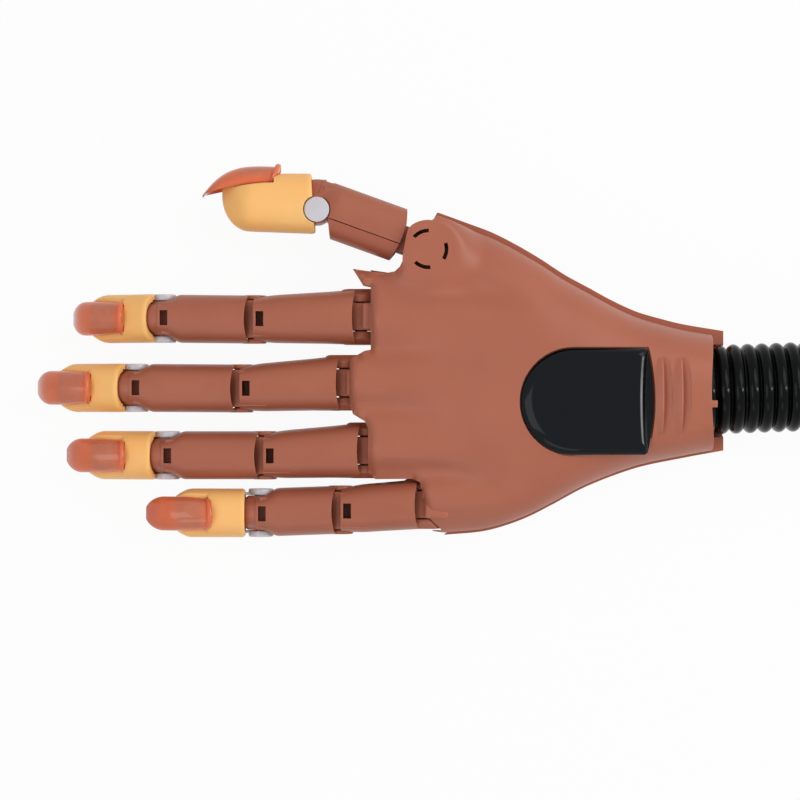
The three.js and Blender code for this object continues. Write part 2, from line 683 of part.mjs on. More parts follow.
// The palm side: flat in the middle, rolled up to the seam at its edges.
function frontSolid(fromX, toX, top, inset, rim, stations = 9) {
  const rings = [];
  for (let i = 0; i <= stations; i += 1) {
    const x = fromX + (toX - fromX) * i / stations;
    const upper = sideAt(thumbSide, x) + rim - inset;
    const lower = sideAt(littleSide, x) - 0.4 * rim + inset;
    const ring = [new THREE.Vector3(x, upper, top), new THREE.Vector3(x, lower, top)];
    const across = 12;
    for (let k = 0; k <= across; k += 1) {
      const u = -Math.cos(k / across * Math.PI);
      const y = (upper + lower) / 2 + (upper - lower) / 2 * u;
      const roll = Math.max(Math.abs(u) - palmFlat, 0) / (1 - palmFlat);
      const rise = (palmSeam - 2) * (1 - (1 - roll ** 2.4) ** 0.45);
      ring.push(new THREE.Vector3(x, y, Math.min(rise + inset, top - 0.5)));
    }
    rings.push(ring);
  }
  return loft(rings);
}

// The cover's D outline, grown by slack, with extra room at its straight edge.
function coverPlan(slack, endSlack) {
  const [cx, cy] = coverCentre;
  const r = coverRadius + slack;
  const shape = new THREE.Shape();
  shape.absarc(cx, cy, r, Math.PI / 2, 3 * Math.PI / 2, false);
  shape.lineTo(coverEnd + endSlack, cy - r);
  shape.lineTo(coverEnd + endSlack, cy + r);
  shape.closePath();
  return shape;
}
const coverFloor = palmCrown - coverThickness - gap + coverProud;

// Hollows that both palm shells share: the cuff's bore, the arm's core and the thumb's root.
function sharedHollow() {
  const [bossX, bossY] = thumbBase;
  const mouth = new THREE.BoxGeometry(18, 15.5, bossTop - bossBottom - 2 * bossPlate)
    .translate(9 + 1, 0, (bossTop + bossBottom) / 2).rotateZ(thumbHeading).translate(bossX, bossY, 0);
  return drumX(sleeveRadius + cuffSlack, 0, armHeight, armStart - collarLength - 2 * gap, far, 24)
    .add(drumX(coreRadius + gap, 0, armHeight, coreStart - gap, armStart))
    .add(drumZ(thumbRootRadius + hingeGap, bossX, bossY, bossBottom + bossPlate, bossTop - bossPlate, 20))
    .add(drumZ(thumbPivotRadius + gap, bossX, bossY, bossBottom + pivotRoof, bossTop - pivotRoof, smallSides))
    .add(solid(mouth));
}

// Room for each finger's base: its lugs, and its shells as they swing down.
function knuckleRoom({ knuckle: [x, y], width }) {
  const half = width / 2 + 0.5;
  return drumY(knuckleLugRadius + 0.6, x, axisHeight, y - half, y + half);
}

function knuckleTongue({ knuckle: [x, y] }) {
  const half = knuckleTongueWidth / 2;
  const depth = half - trunnionLength - gap;
  const hole = drumY(trunnionRadius + gap, x, axisHeight, y + depth, y + half + 1, smallSides);
  const other = drumY(trunnionRadius + gap, x, axisHeight, y - half - 1, y - depth, smallSides);
  return drumY(barrelRadius, x, axisHeight, y - half, y + half)
    .add(block(x, x + tongueRun, y - half, y + half, axisHeight - barrelRadius, axisHeight + barrelRadius))
    .add(block(x + 0.4, x + 8, y - half, y + half, axisHeight, axisHeight + backHeight - 1.4))
    .subtract(hole).subtract(other);
}

function arcSlot(middleAngle) {
  const from = THREE.MathUtils.degToRad(middleAngle - slotSpan / 2);
  const to = THREE.MathUtils.degToRad(middleAngle + slotSpan / 2);
  const [cx, cy] = thumbBase;
  const shape = new THREE.Shape();
  shape.absarc(cx, cy, slotOuter, from, to, false);
  shape.absarc(cx, cy, slotInner, to, from, true);
  shape.closePath();
  return prism(shape, bossTop - 4, bossTop + 4, 5);
}

function gripRidge(x) {
  const [, cy] = coverCentre;
  const shape = new THREE.Shape();
  shape.moveTo(-ridgeLength / 2, 0);
  shape.quadraticCurveTo(0, ridgeWidth, ridgeLength / 2, 0);
  shape.quadraticCurveTo(0, -ridgeWidth, -ridgeLength / 2, 0);
  const geometry = new THREE.ExtrudeGeometry(shape, { depth: far, bevelEnabled: false, curveSegments: 4 });
  const lens = solid(geometry.rotateZ(Math.PI / 2).translate(x, cy + 1.6, palmSeam + 6));
  return lens.intersect(backSolid(x - ridgeWidth, x + ridgeWidth, palmSeam, -ridgeHeight, 2));
}

function palmBackShell() {
  const lip = cuffX + cuffLip;
  let shell = backSolid(-72, lip, palmSeam, 0).intersect(prism(palmPlan(0, 0), palmSeam, far));
  const [bossX, bossY] = thumbBase;
  shell = shell.add(drumZ(bossRadius, bossX, bossY, palmSeam, bossTop, 28, bossRadius - 0.8));
  shell = shell.subtract(backSolid(...palmHollow, palmSeam - 1, palmWall + coverThickness, 4));
  fingers.forEach((finger_) => { shell = shell.subtract(knuckleRoom(finger_)); });
  fingers.forEach((finger_) => { shell = shell.add(knuckleTongue(finger_)); });
  screwPlaces.forEach(([x, y]) => {
    shell = shell.add(drumZ(screwPostRadius, x, y, palmSeam, screwTop + 2, 10));
    shell = shell.subtract(drumZ(screwShankRadius + gap, x, y, palmSeam - 1, screwTop + 0.8, smallSides));
  });
  ridgePlaces.forEach((x) => { shell = shell.add(gripRidge(x)); });
  shell = shell.subtract(sharedHollow());
  slotAngles.forEach((angle) => { shell = shell.subtract(arcSlot(angle)); });
  shell = shell.subtract(prism(coverPlan(gap + 0.1, coverSlack), coverFloor, far, 12));
  // the cuff's edge curves in over the hose
  return shell.subtract(drumZ(40, cuffX - 2.8 + 40, 0, palmSeam + 9, far, 30));
}

function palmFrontShell() {
  const top = palmSeam - gap;
  const lip = cuffX + cuffLip;
  let shell = frontSolid(-63, lip, top, 0, rimWidth);
  shell = shell.intersect(prism(palmPlan(rimWidth, knuckleSetBack), -1, top));
  const [bossX, bossY] = thumbBase;
  shell = shell.add(drumZ(bossRadius - 1, bossX, bossY, bossBottom, top, 28, bossRadius));
  shell = shell.subtract(frontSolid(...palmHollow, top + 2, palmWall, rimWidth, 5));
  fingers.forEach(({ knuckle: [x, y], width }) => {
    const half = width / 2 + 0.6;
    shell = shell.subtract(drumY(barrelRadius + hingeGap, x, axisHeight, y - half, y + half));
    const beside = knuckleTongueWidth / 2 + gap;
    shell = shell.subtract(block(
      x, x + tongueRun + gap, y - beside, y + beside, axisHeight - barrelRadius - gap, far));
  });
  screwPlaces.forEach(([x, y]) => {
    shell = shell.add(drumZ(screwPostRadius, x, y, 1, top, 10));
    shell = shell.subtract(drumZ(screwHeadRadius + gap, x, y, -1, screwHeadDepth, 10));
    shell = shell.subtract(drumZ(screwShankRadius + gap, x, y, 0, far, smallSides));
  });
  return shell.subtract(sharedHollow());
}

function palmScrew([x, y]) {
  const head = drumZ(screwHeadRadius, x, y, 0.8, screwHeadDepth - gap, 10, screwHeadRadius);
  return head.add(drumZ(screwShankRadius, x, y, 1, screwTop, smallSides));
}

function wristCover() {
  const [cx, cy] = coverCentre;
  const plan = coverPlan(0, 0);
  const geometry = new THREE.ExtrudeGeometry(plan, {
    depth: coverThickness - coverBevel, bevelEnabled: true, bevelThickness: coverBevel,
    bevelSize: coverBevelWidth, bevelOffset: -coverBevelWidth,
    bevelSegments: 2, curveSegments: 12,
  });
  const full = solid(geometry.translate(0, 0, coverFloor + gap));
  const trimmed = full.subtract(block(-far, far, -far, far, -far, coverFloor + gap));
  const skirt = prism(plan, coverFloor + gap, coverFloor + gap + coverThickness - coverBevel, 12);
  return trimmed.add(skirt).subtract(block(cx - 9, coverEnd - 3, cy - 9, cy + 9, 0, coverFloor + gap + 0.9));
}

place(hand, 'palm_back_shell', palmBackShell(), skin);
place(hand, 'palm_front_shell', palmFrontShell(), skinDeep);
place(hand, 'wrist_cover', wristCover(), blackGloss);
screwPlaces.forEach((spot, i) => place(hand, `palm_screw_${i + 1}`, palmScrew(spot), steel));

// Thumb: a root barrel that swivels between the palm shells, and one phalanx clamped on its neck

function thumb() {
  const heading = new THREE.Vector3(Math.cos(thumbHeading), Math.sin(thumbHeading), 0);
  const back = new THREE.Vector3(heading.y, -heading.x, 0);
  const group = hingeFrame(new THREE.Vector3(thumbBase[0], thumbBase[1], thumbHeight), heading, back);
  const spec = {
    length: thumbReach, shift: 0, nearWidth: fingerWidth, farWidth: fingerWidth, flare: true, rooted: true,
  };
  const low = bossBottom + bossPlate + gap - thumbHeight;
  const high = bossTop - bossPlate - gap - thumbHeight;
  const root = drumY(thumbRootRadius, 0, 0, low, high, 20)
    .add(drumY(thumbPivotRadius, 0, 0, low - bossPlate + pivotRoof, high + bossPlate - pivotRoof, smallSides))
    .add(block(0, thumbPhalanxStart + 1, -4.2, 4.2, -3.9, 5))
    .add(phalanxBody(spec, thumbPhalanxStart + gap, thumbNeckEnd, -shellWall - gap));
  const { back: backShell, front: frontShell } = phalanx(spec);
  place(group, 'thumb_root', root, skinDeep);
  place(group, 'thumb_phalanx_back', backShell, skin);
  place(group, 'thumb_phalanx_front', frontShell, skinDeep);
  const tipBack = new THREE.Vector3(0, 1, 0);
  const tip = hingeFrame(new THREE.Vector3(thumbHinge[0], thumbHinge[1], thumbHeight), distalOfHand, tipBack);
  fingertip(tip, 'thumb', {
    capSeat: thumbCapSeat, nailSeat: thumbNailSeat, scale: thumbScale, rimLean: thumbRimLean,
  });
}
thumb();

// Gooseneck: a core that bends and stays put, in a ribbed sleeve

const sectionLength = ribPitch * ribsPerSection;
const armLength = sectionLength * sectionCount;

// The arm's centre at a distance s along it; it leaves the cuff at a slight lean and straightens.
function armPoint(s) {
  const run = THREE.MathUtils.clamp(s, 0, armLength);
  const y = armSlope * (run - run * run / (2 * armLength));
  const lean = s > 0 ? armSlope * (1 - run / armLength) : 0;
  return { x: armStart + s, y, lean };
}

function armRing(s, radius, points) {
  const { x, y, lean } = armPoint(s);
  const ring = [];
  for (let i = 0; i < points; i += 1) {
    const turn = (i + 0.5) / points * 2 * Math.PI;
    const across = radius * Math.cos(turn);
    ring.push(new THREE.Vector3(x - lean * across, y + across, armHeight + radius * Math.sin(turn)));
  }
  return ring;
}

function sleeveSection(k) {
  const start = k * sectionLength;
  const squareEnd = k === 0 ? armSlope * sleeveRadius : 0;
  const rings = [armRing(start + gap / 2 + squareEnd, sleeveValley, sleevePoints)];
  for (let rib = 0; rib < ribsPerSection; rib += 1) {
    const s = start + rib * ribPitch;
    rings.push(armRing(s + 0.5 * ribPitch, sleeveRadius, sleevePoints));
    if (rib < ribsPerSection - 1) rings.push(armRing(s + ribPitch, sleeveValley, sleevePoints));
  }
  rings.push(armRing(start + sectionLength - gap / 2, sleeveValley, sleevePoints));
  const bore = [];
  for (let i = 0; i <= 3; i += 1) {
    bore.push(armRing(start - 1 + (sectionLength + 2) * i / 3, sleeveBore, sleevePoints));
  }
  return loft(rings).subtract(loft(bore));
}

function coreSection(k) {
  const start = k === 0 ? coreStart - armStart : k * sectionLength + gap / 2;
  const end = (k + 1) * sectionLength + (k === sectionCount - 1 ? socketCore : -gap / 2);
  const straight = k === 0 ? [start, 0] : [start];
  const bends = [1, 2, 3].map((i) => k * sectionLength + (end - k * sectionLength) * i / 3);
  return loft(straight.concat(bends).map((s) => armRing(s, coreRadius, smallSides)));
}

for (let k = 0; k < sectionCount; k += 1) {
  place(hand, `arm_sleeve_${k + 1}`, sleeveSection(k), hoseBlack);
  place(hand, `arm_core_${k + 1}`, coreSection(k), steel);
}
const collarStart = armStart - collarLength - gap;
const collar = drumX(sleeveRadius + cuffSlack - gap, 0, armHeight, collarStart, armStart - gap, 24)
  .subtract(drumX(coreRadius + gap, 0, armHeight, 0, far));
place(hand, 'wrist_collar', collar, hoseBlack);

// Bench clamp: the gooseneck's socket, a C frame, and a screw with a pad and a knob

const armEnd = armPoint(armLength);
const socketStart = armEnd.x - socketOverlap;
const jawStart = armEnd.x + gap + socketFloor;
const jawFace = jawStart + jawThickness;
const lowerJaw = jawFace + jawOpening;
const clampEnd = lowerJaw + jawThickness;
const screwY = armEnd.y - screwOffset;
const spineY = armEnd.y + spineOffset;

// The C frame's plan, drawn in by inset.
function clampPlan(inset) {
  const outer = spineY + spineThickness - inset;
  const tip = spineY - throatDepth + inset;
  const round = 8;
  const shape = new THREE.Shape();
  shape.moveTo(jawStart + inset, tip);
  shape.lineTo(jawFace - inset, tip);
  shape.lineTo(jawFace - inset, spineY + inset);
  shape.lineTo(lowerJaw + inset, spineY + inset);
  shape.lineTo(lowerJaw + inset, tip);
  shape.lineTo(clampEnd - inset, tip);
  shape.absarc(clampEnd - inset - round, outer - round, round, 0, Math.PI / 2, false);
  shape.absarc(jawStart + inset + round, outer - round, round, Math.PI / 2, Math.PI, false);
  shape.closePath();
  return shape;
}

function clampFrame() {
  let frame = prism(clampPlan(0), 0, clampWidth, 4);
  // ribs left round a web on both broad sides
  frame = frame.subtract(prism(clampPlan(clampRib), -1, clampRibDepth, 4));
  frame = frame.subtract(prism(clampPlan(clampRib), clampWidth - clampRibDepth, far, 4));
  const bossEnd = clampEnd + bossStand;
  frame = frame.add(drumX(clampBossRadius, screwY, armHeight, lowerJaw, bossEnd, clampScrewSides));
  const bore = drumX(clampScrewRadius + gap, screwY, armHeight, lowerJaw - 1, bossEnd + 1, clampScrewSides);
  frame = frame.subtract(bore);
  const socket = drumX(socketRadius, armEnd.y, armHeight, socketStart, jawStart + 2, 28);
  frame = frame.add(socket);
  frame = frame.subtract(drumX(sleeveRadius + 0.5, armEnd.y, armHeight, socketStart - 1, armEnd.x + gap, 24));
  return frame.subtract(drumX(coreRadius + gap, armEnd.y, armHeight, armEnd.x, armEnd.x + socketCore + gap));
}

function clampKnob() {
  const shape = new THREE.Shape();
  const steps = 6 * knobLobes;
  for (let i = 0; i < steps; i += 1) {
    const turn = i / steps * 2 * Math.PI;
    const radius = knobRadius - knobWave + knobWave * Math.cos(knobLobes * turn);
    const point = [radius * Math.cos(turn), radius * Math.sin(turn)];
    if (i === 0) shape.moveTo(...point);
    else shape.lineTo(...point);
  }
  const geometry = new THREE.ExtrudeGeometry(shape, { depth: knobLength, bevelEnabled: false });
  const knob = solid(geometry.rotateY(Math.PI / 2).translate(knobStart, screwY, armHeight));
  const reach = knobStart + knobSocket;
  return knob.subtract(drumX(clampScrewRadius + gap, screwY, armHeight, knobStart - 1, reach, clampScrewSides));
}

const padStart = jawFace + jawPadThickness + gap + padTravelGap;
const padEnd = padStart + padThickness;
const knobStart = clampEnd + bossStand + knobStandoff;

function clampPad() {
  const disc = drumX(padRadius - 1, screwY, armHeight, padStart, padEnd, 20, padRadius);
  const seat = padEnd - screwSeat;
  return disc.subtract(drumX(clampScrewRadius + gap, screwY, armHeight, seat, padEnd + 1, clampScrewSides));
}

function clampScrew() {
  const start = padEnd - screwSeat + gap;
  return drumX(clampScrewRadius, screwY, armHeight, start, knobStart + knobSocket - gap, clampScrewSides);
}

// The rubber face glued to the fixed jaw.
function jawPad() {
  const face = jawFace + gap;
  const tip = spineY - throatDepth + 2;
  return block(face, face + jawPadThickness, tip, spineY - 4, clampRib, clampWidth - clampRib);
}

place(hand, 'clamp_frame', clampFrame(), clampBlack);
place(hand, 'clamp_jaw_pad', jawPad(), hoseBlack);
place(hand, 'clamp_pad', clampPad(), hoseBlack);
place(hand, 'clamp_screw', clampScrew(), steel);
place(hand, 'clamp_knob', clampKnob(), clampBlack);

export default hand;
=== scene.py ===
from math import atan2, ceil, copysign, cos, dist, exp, hypot, log, pi, radians, sin, sqrt, tan

import bmesh
import bpy
from mathutils import Matrix, Vector


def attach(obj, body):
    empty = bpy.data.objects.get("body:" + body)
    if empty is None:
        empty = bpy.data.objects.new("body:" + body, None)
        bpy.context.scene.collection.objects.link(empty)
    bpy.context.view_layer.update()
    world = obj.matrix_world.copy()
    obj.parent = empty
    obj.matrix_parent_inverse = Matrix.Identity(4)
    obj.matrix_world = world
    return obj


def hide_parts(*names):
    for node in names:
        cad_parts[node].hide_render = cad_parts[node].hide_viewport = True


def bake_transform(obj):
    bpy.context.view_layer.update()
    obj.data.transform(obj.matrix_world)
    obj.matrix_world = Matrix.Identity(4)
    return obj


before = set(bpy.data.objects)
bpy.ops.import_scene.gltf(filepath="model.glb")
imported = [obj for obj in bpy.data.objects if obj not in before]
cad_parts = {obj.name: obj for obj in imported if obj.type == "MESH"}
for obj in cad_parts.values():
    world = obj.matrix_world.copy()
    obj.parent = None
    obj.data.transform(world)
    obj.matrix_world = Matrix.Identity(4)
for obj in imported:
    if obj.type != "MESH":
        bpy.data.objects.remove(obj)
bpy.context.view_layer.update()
scene = bpy.context.scene


class Sizes(dict):
    # a dictionary whose values can be read like attributes
    __getattr__ = dict.__getitem__


# Studio and camera; lengths are in millimetres, as everywhere in this file
studio = Sizes(
    cameraPlace=(-51.2, -2.9, 817),
    fieldOfView=18.2,               # degrees, the same across and up
    sensor=36,
    clipping=(0.01, 20),            # in metres
    floorSize=4000,
    floorDrop=0.2,
    floorColour=(0.8, 0.8, 0.8, 1),
    floorGlow=0.94,                 # how much of the floor's white the camera sees without its shadow
    worldStrength=0.42,
    # place, aim, width and length, and power of each lamp; the strip makes the light along glossy edges
    keyLamp=((430, 320, 580), (0, 0, 0), (520, 520), 2.6),
    fillLamp=((-560, -160, 800), (-40, 0, 0), (520, 520), 1.7),
    frontLamp=((-200, -700, 600), (-40, 0, 0), (520, 260), 0.7),
    stripLamp=((720, 0, 520), (30, 0, 20), (60, 420), 1.7),
)
white = (1, 1, 1, 1)
mm = 0.001
toMetres = Matrix.Scale(mm, 4)


def placed(name, data):
    # a new object in the scene
    thing = bpy.data.objects.new(name, data)
    scene.collection.objects.link(thing)
    return thing


def meshObject(name, mesh):
    data = bpy.data.meshes.new(name)
    mesh.to_mesh(data)
    mesh.free()
    return placed(name, data)


def linear(*colour):
    # a colour given as 0 to 255, as the shader wants it
    shares = [v / 255 for v in colour]
    return (*(v / 12.92 if v <= 0.04045 else ((v + 0.055) / 1.055) ** 2.4 for v in shares), 1)


class Value:
    # a shader socket that adds its own Math node when it is used in an expression
    def __init__(self, finish, socket):
        self.finish = finish
        self.socket = socket

    def maths(self, operation, first, second):
        return self.finish.add("ShaderNodeMath", {"operation": operation}, {0: first, 1: second})

    def __add__(self, other):
        return self.maths("ADD", self, other)

    def __sub__(self, other):
        return self.maths("SUBTRACT", self, other)

    def __rsub__(self, other):
        return self.maths("SUBTRACT", other, self)

    def __mul__(self, other):
        return self.maths("MULTIPLY", self, other)

    __radd__ = __add__
    __rmul__ = __mul__

    def ramp(self, low, high):
        # 0 below low, 1 above high, smooth between
        settings = {"interpolation_type": "SMOOTHSTEP"}
        return self.finish.add("ShaderNodeMapRange", settings, {0: self, 1: low, 2: high, 3: 0.0, 4: 1.0})


class Tree:
    # adds nodes to a tree; a link or a plain value may be given for any socket
    def __init__(self, tree):
        self.tree = tree

    def add(self, kind, settings=None, inputs=None, output=0):
        node = self.tree.nodes.new(kind)
        for key, value in (settings or {}).items():
            setattr(node, key, value)
        for key, value in (inputs or {}).items():
            if isinstance(value, Value):
                self.tree.links.new(value.socket, node.inputs[key])
            else:
                node.inputs[key].default_value = value
        return Value(self, node.outputs[output])

    def seen(self, share):
        # 1 for rays off glossy or through clear surfaces, share for what the camera sees itself, else 0
        camera, glossy, through = [self.add("ShaderNodeLightPath", output=f"Is {kind} Ray")
                                   for kind in ("Camera", "Glossy", "Transmission")]
        return camera * share + glossy + through


class Finish(Tree):
    # one material: a Principled surface, and the nodes that feed it
    def __init__(self, name, slot, **values):
        self.slot = slot
        self.material = bpy.data.materials.new(name)
        self.material.use_nodes = True
        self.tree = self.material.node_tree
        self.tree.nodes.clear()
        self.surface = self.tree.nodes.new("ShaderNodeBsdfPrincipled")
        self.output = self.tree.nodes.new("ShaderNodeOutputMaterial")
        self.tree.links.new(self.surface.outputs[0], self.output.inputs[0])
        for socket, value in values.items():
            self.surface.inputs[socket.replace("_", " ")].default_value = value
        self.place = self.add("ShaderNodeTexCoord", output="Object")

    def noise(self, scale, detail=3.0):
        return self.add("ShaderNodeTexNoise", None, {"Vector": self.place, "Scale": scale, "Detail": detail})

    def mix(self, factor, first, second):
        return self.add("ShaderNodeMix", {"data_type": "RGBA"}, {0: factor, 6: first, 7: second}, 2)

    def feed(self, socket, value):
        self.tree.links.new(value.socket, self.surface.inputs[socket])

    def edges(self, radius):
        # 0 on a flat face, towards 1 on a rounded edge, with the rounded normal that goes with it
        rounded = self.add("ShaderNodeBevel", {"samples": 4}, {"Radius": radius * mm})
        plain = self.add("ShaderNodeNewGeometry", output="Normal")
        dot = self.add("ShaderNodeVectorMath", {"operation": "DOT_PRODUCT"}, {0: rounded, 1: plain}, 1)
        return rounded, (1 - dot) * 4.0

    def bump(self, height, depth, strength=1.0, **normal):
        inputs = {"Height": height, "Distance": depth * mm, "Strength": strength, **normal}
        self.feed("Normal", self.add("ShaderNodeBump", None, inputs))


def layered(name, slot, tone, colours, gloss, grain, rounding=0.3, **values):
    # two tones under a noise, a painted highlight in a lighter colour along the edges, uneven gloss and a
    # fine grain
    finish = Finish(name, slot, **values)
    scale, detail, low, high = tone
    cloud = finish.noise(scale, detail).ramp(low, high)
    rounded, edge = finish.edges(rounding)
    # the third colour is a painted highlight, mixed in where the bevel finds a rounded edge
    finish.feed("Base Color", finish.mix(edge.ramp(0.05, 0.9), finish.mix(cloud, *colours[:2]), colours[2]))
    # no scale for the gloss or the grain means that the tones' own noise serves
    scale, swing, least = gloss
    finish.feed("Roughness", (finish.noise(scale) if scale else cloud) * swing + least)
    scale, depth, strength = grain
    finish.bump(finish.noise(scale, 2) if scale else cloud, depth, strength, Normal=rounded)
    return finish


def mouldedPlastic(name, slot, colour, edgeHighlightColour, roughness, grain=0.02, rounding=0.3, **values):
    # satin moulded plastic with faint flow marks and a painted highlight along its edges
    darker = (*(0.93 * c for c in colour[:3]), 1)
    return layered(name, slot, (45, 4, 0.3, 0.7), (darker, colour, edgeHighlightColour), (140, 0.12, roughness - 0.06),
                   (1500, grain, 0.6), rounding, Roughness=roughness, **values)


def skinPlastic(name, colour, edgeHighlightColour, roughness):
    return mouldedPlastic(name, "skin_shell", colour, edgeHighlightColour, roughness, Specular_IOR_Level=0.35)


def nailGloss():
    # tinted clear plastic; the seat shows through as a greyish patch between the lip and the free edge
    finish = Finish("nailGloss", "nail", Roughness=0.25, Specular_IOR_Level=0.25, Coat_Weight=0.3,
                    Coat_Roughness=0.06)
    along = finish.add("ShaderNodeAttribute", {"attribute_name": "along"}, output="Fac")
    across = finish.add("ShaderNodeAttribute", {"attribute_name": "across"}, output="Fac")
    patch = along.ramp(0.1, 0.17) * (1 - along.ramp(0.42, 0.62)) * (1 - across.ramp(0.5, 0.8))
    mottle = finish.noise(180).ramp(0.35, 0.65)
    body = finish.mix(mottle, linear(218, 106, 66), linear(226, 112, 70))
    seat = finish.mix(mottle, linear(188, 108, 80), linear(198, 116, 88))
    body = finish.mix(patch * 0.85, body, seat)
    body = finish.mix(along.ramp(0.72, 1.0) * 0.8, body, linear(204, 84, 46))
    finish.feed("Base Color", finish.mix(across.ramp(0.86, 1.0), body, linear(208, 100, 62)))
    finish.feed("Roughness", mottle * 0.08 + 0.18)
    finish.bump(finish.noise(300, 2), 0.01)
    return finish


# each layered finish's edge colour is a painted highlight along its edges
finishes = {
    "skin": skinPlastic("skinPlastic", linear(169, 97, 73), linear(206, 128, 98), 0.42),
    "skinPalm": skinPlastic("skinPalmPlastic", linear(172, 99, 75), linear(206, 128, 98), 0.42),
    # a darker copy of the skin plastic: painted shade for the palm-side shells and the thumb's root, which
    # lie under and inside the hand
    "skinDeep": skinPlastic("skinDeepPlastic", linear(166, 90, 66), linear(204, 116, 86), 0.45),
    "black": mouldedPlastic("blackGloss", "black_gloss", linear(8, 14, 19), linear(24, 32, 39), 0.12, 0.002,
                            Specular_IOR_Level=0.14),
    "hose": mouldedPlastic("hoseBlack", "hose_black", linear(4, 5, 6), linear(8, 10, 12), 0.14, 0.004,
                           Specular_IOR_Level=0.1),
    "clamp": mouldedPlastic("clampPowder", "clamp_black", linear(34, 35, 37), linear(60, 61, 64), 0.5, 0.05,
                            0.5),
    "tip": layered("softTipRubber", "soft_tip", (60, 4, 0.25, 0.75),
                   (linear(255, 187, 106), linear(255, 194, 118), linear(255, 214, 150)),
                   (200, 0.14, 0.42), (1200, 0.025, 0.6), 0.35, Roughness=0.5, Subsurface_Weight=0.18,
                   Subsurface_Scale=0.004, Subsurface_Radius=(1.0, 0.5, 0.2)),
    "nail": nailGloss(),
    "core": layered("clearCore", "clear_white", (90, 2, 0.2, 0.8),
                    (linear(212, 209, 216), linear(220, 217, 223), linear(245, 243, 246)),
                    (None, 0.1, 0.25), (900, 0.01, 0.5), Roughness=0.3, Transmission_Weight=0.12, IOR=1.46,
                    Subsurface_Weight=0.3, Subsurface_Scale=0.003),
    "steel": layered("platedSteel", "steel", (700, 3, 0.3, 0.7),
                     ((0.50, 0.50, 0.52, 1), (0.60, 0.60, 0.62, 1), (0.75, 0.75, 0.77, 1)),
                     (None, 0.15, 0.25), (None, 0.004, 1), Metallic=1.0, Roughness=0.3),
    "rubber": layered("padRubber", "rubber_pad", (200, 3, 0.3, 0.7),
                      (linear(30, 30, 32), linear(40, 40, 42), linear(62, 62, 64)),
                      (500, 0.2, 0.6), (1600, 0.06, 1), 0.4, Roughness=0.7),
}
print("finishes made:", len(finishes))


def buildStudio():
    s = studio
    floorMesh = bmesh.new()
    bmesh.ops.create_grid(floorMesh, x_segments=1, y_segments=1, size=s.floorSize / 2 * mm)
    floor = meshObject("floor", floorMesh)
    floor.location.z = -s.floorDrop * mm
    paper = Finish("floorPaper", "floor", Roughness=0.9, Base_Color=s.floorColour)
    glow = paper.add("ShaderNodeEmission", None, {"Color": white, "Strength": 1.0})
    shadowed = Value(paper, paper.surface.outputs[0])
    look = paper.add("ShaderNodeMixShader", None, {0: paper.seen(s.floorGlow), 1: shadowed, 2: glow})
    paper.tree.links.new(look.socket, paper.output.inputs[0])
    floor.data.materials.append(paper.material)

    world = bpy.data.worlds.new("paleRoom")
    scene.world = world
    world.use_nodes = True
    room = Tree(world.node_tree)
    level = room.seen(1.0) * (1 - s.worldStrength) + s.worldStrength
    background = world.node_tree.nodes["Background"]
    room.tree.links.new(level.socket, background.inputs["Strength"])
    background.inputs["Color"].default_value = white

    for name in ("keyLamp", "fillLamp", "frontLamp", "stripLamp"):
        place, aim, size, power = s[name]
        light = bpy.data.lights.new(name, "AREA")
        light.shape = "RECTANGLE"
        light.size, light.size_y = size[0] * mm, size[1] * mm
        light.energy = power
        lamp = placed(name, light)
        lamp.location = Vector(place) * mm
        lamp.rotation_euler = (Vector(aim) - Vector(place)).to_track_quat("-Z", "Y").to_euler()

    lens = bpy.data.cameras.new("camera")
    lens.sensor_width = s.sensor
    lens.lens = s.sensor / 2 / tan(radians(s.fieldOfView / 2))
    lens.clip_start, lens.clip_end = s.clipping
    camera = placed("camera", lens)
    camera.location = Vector(s.cameraPlace) * mm
    scene.camera = camera
    scene.view_settings.view_transform = "Standard"


buildStudio()
print("studio ready")


# Shapes. A piece is drawn in its own frame in millimetres, then placed in the hand and turned to metres.
far = 60    # past every edge of the piece in hand


def spread(start, end, count):
    return [start + (end - start) * i / count for i in range(count + 1)]


def clamped(value, low=0, high=1):
    return min(max(value, low), high)


def along(points, x):
    # straight between given [x, value] points, level past their ends
    if x <= points[0][0]:
        return points[0][1]
    for (x0, y0), (x1, y1) in zip(points, points[1:]):
        if x <= x1:
            return y0 + (y1 - y0) * (x - x0) / (x1 - x0)
    return points[-1][1]


def closed(mesh):
    # joins the seam of a skin and fills its ends
    bmesh.ops.remove_doubles(mesh, verts=mesh.verts, dist=1e-4)
    bmesh.ops.holes_fill(mesh, edges=[edge for edge in mesh.edges if edge.is_boundary], sides=0)
    bmesh.ops.recalc_face_normals(mesh, faces=mesh.faces)
    return mesh


def tube(stations, ring, around=64, paint=None):
    # a closed skin through rings: ring(station, turn) gives a point, with turn from 0 to a full circle
    last = len(stations) - 1
    mesh = bmesh.new()
    bmesh.ops.create_grid(mesh, x_segments=around, y_segments=last, size=0.5)
    layers = {name: mesh.verts.layers.float.new(name) for name in (paint or {})}
    for vert in mesh.verts:
        turn, station = 2 * pi * (vert.co.x + 0.5), stations[round((vert.co.y + 0.5) * last)]
        for name, layer in layers.items():
            vert[layer] = paint[name](station, turn)
        vert.co = ring(station, turn)
    return closed(mesh)


def bevel(mesh, edges, width, clamp=False):
    bmesh.ops.bevel(mesh, geom=edges, offset=width, offset_type="OFFSET", affect="EDGES", segments=3,
                    profile=0.5, material=-1, clamp_overlap=clamp)
    return mesh


def roundEdges(mesh, width, angle=40):
    return bevel(mesh, [edge for edge in mesh.edges if edge.calc_face_angle(0) > radians(angle)], width, True)


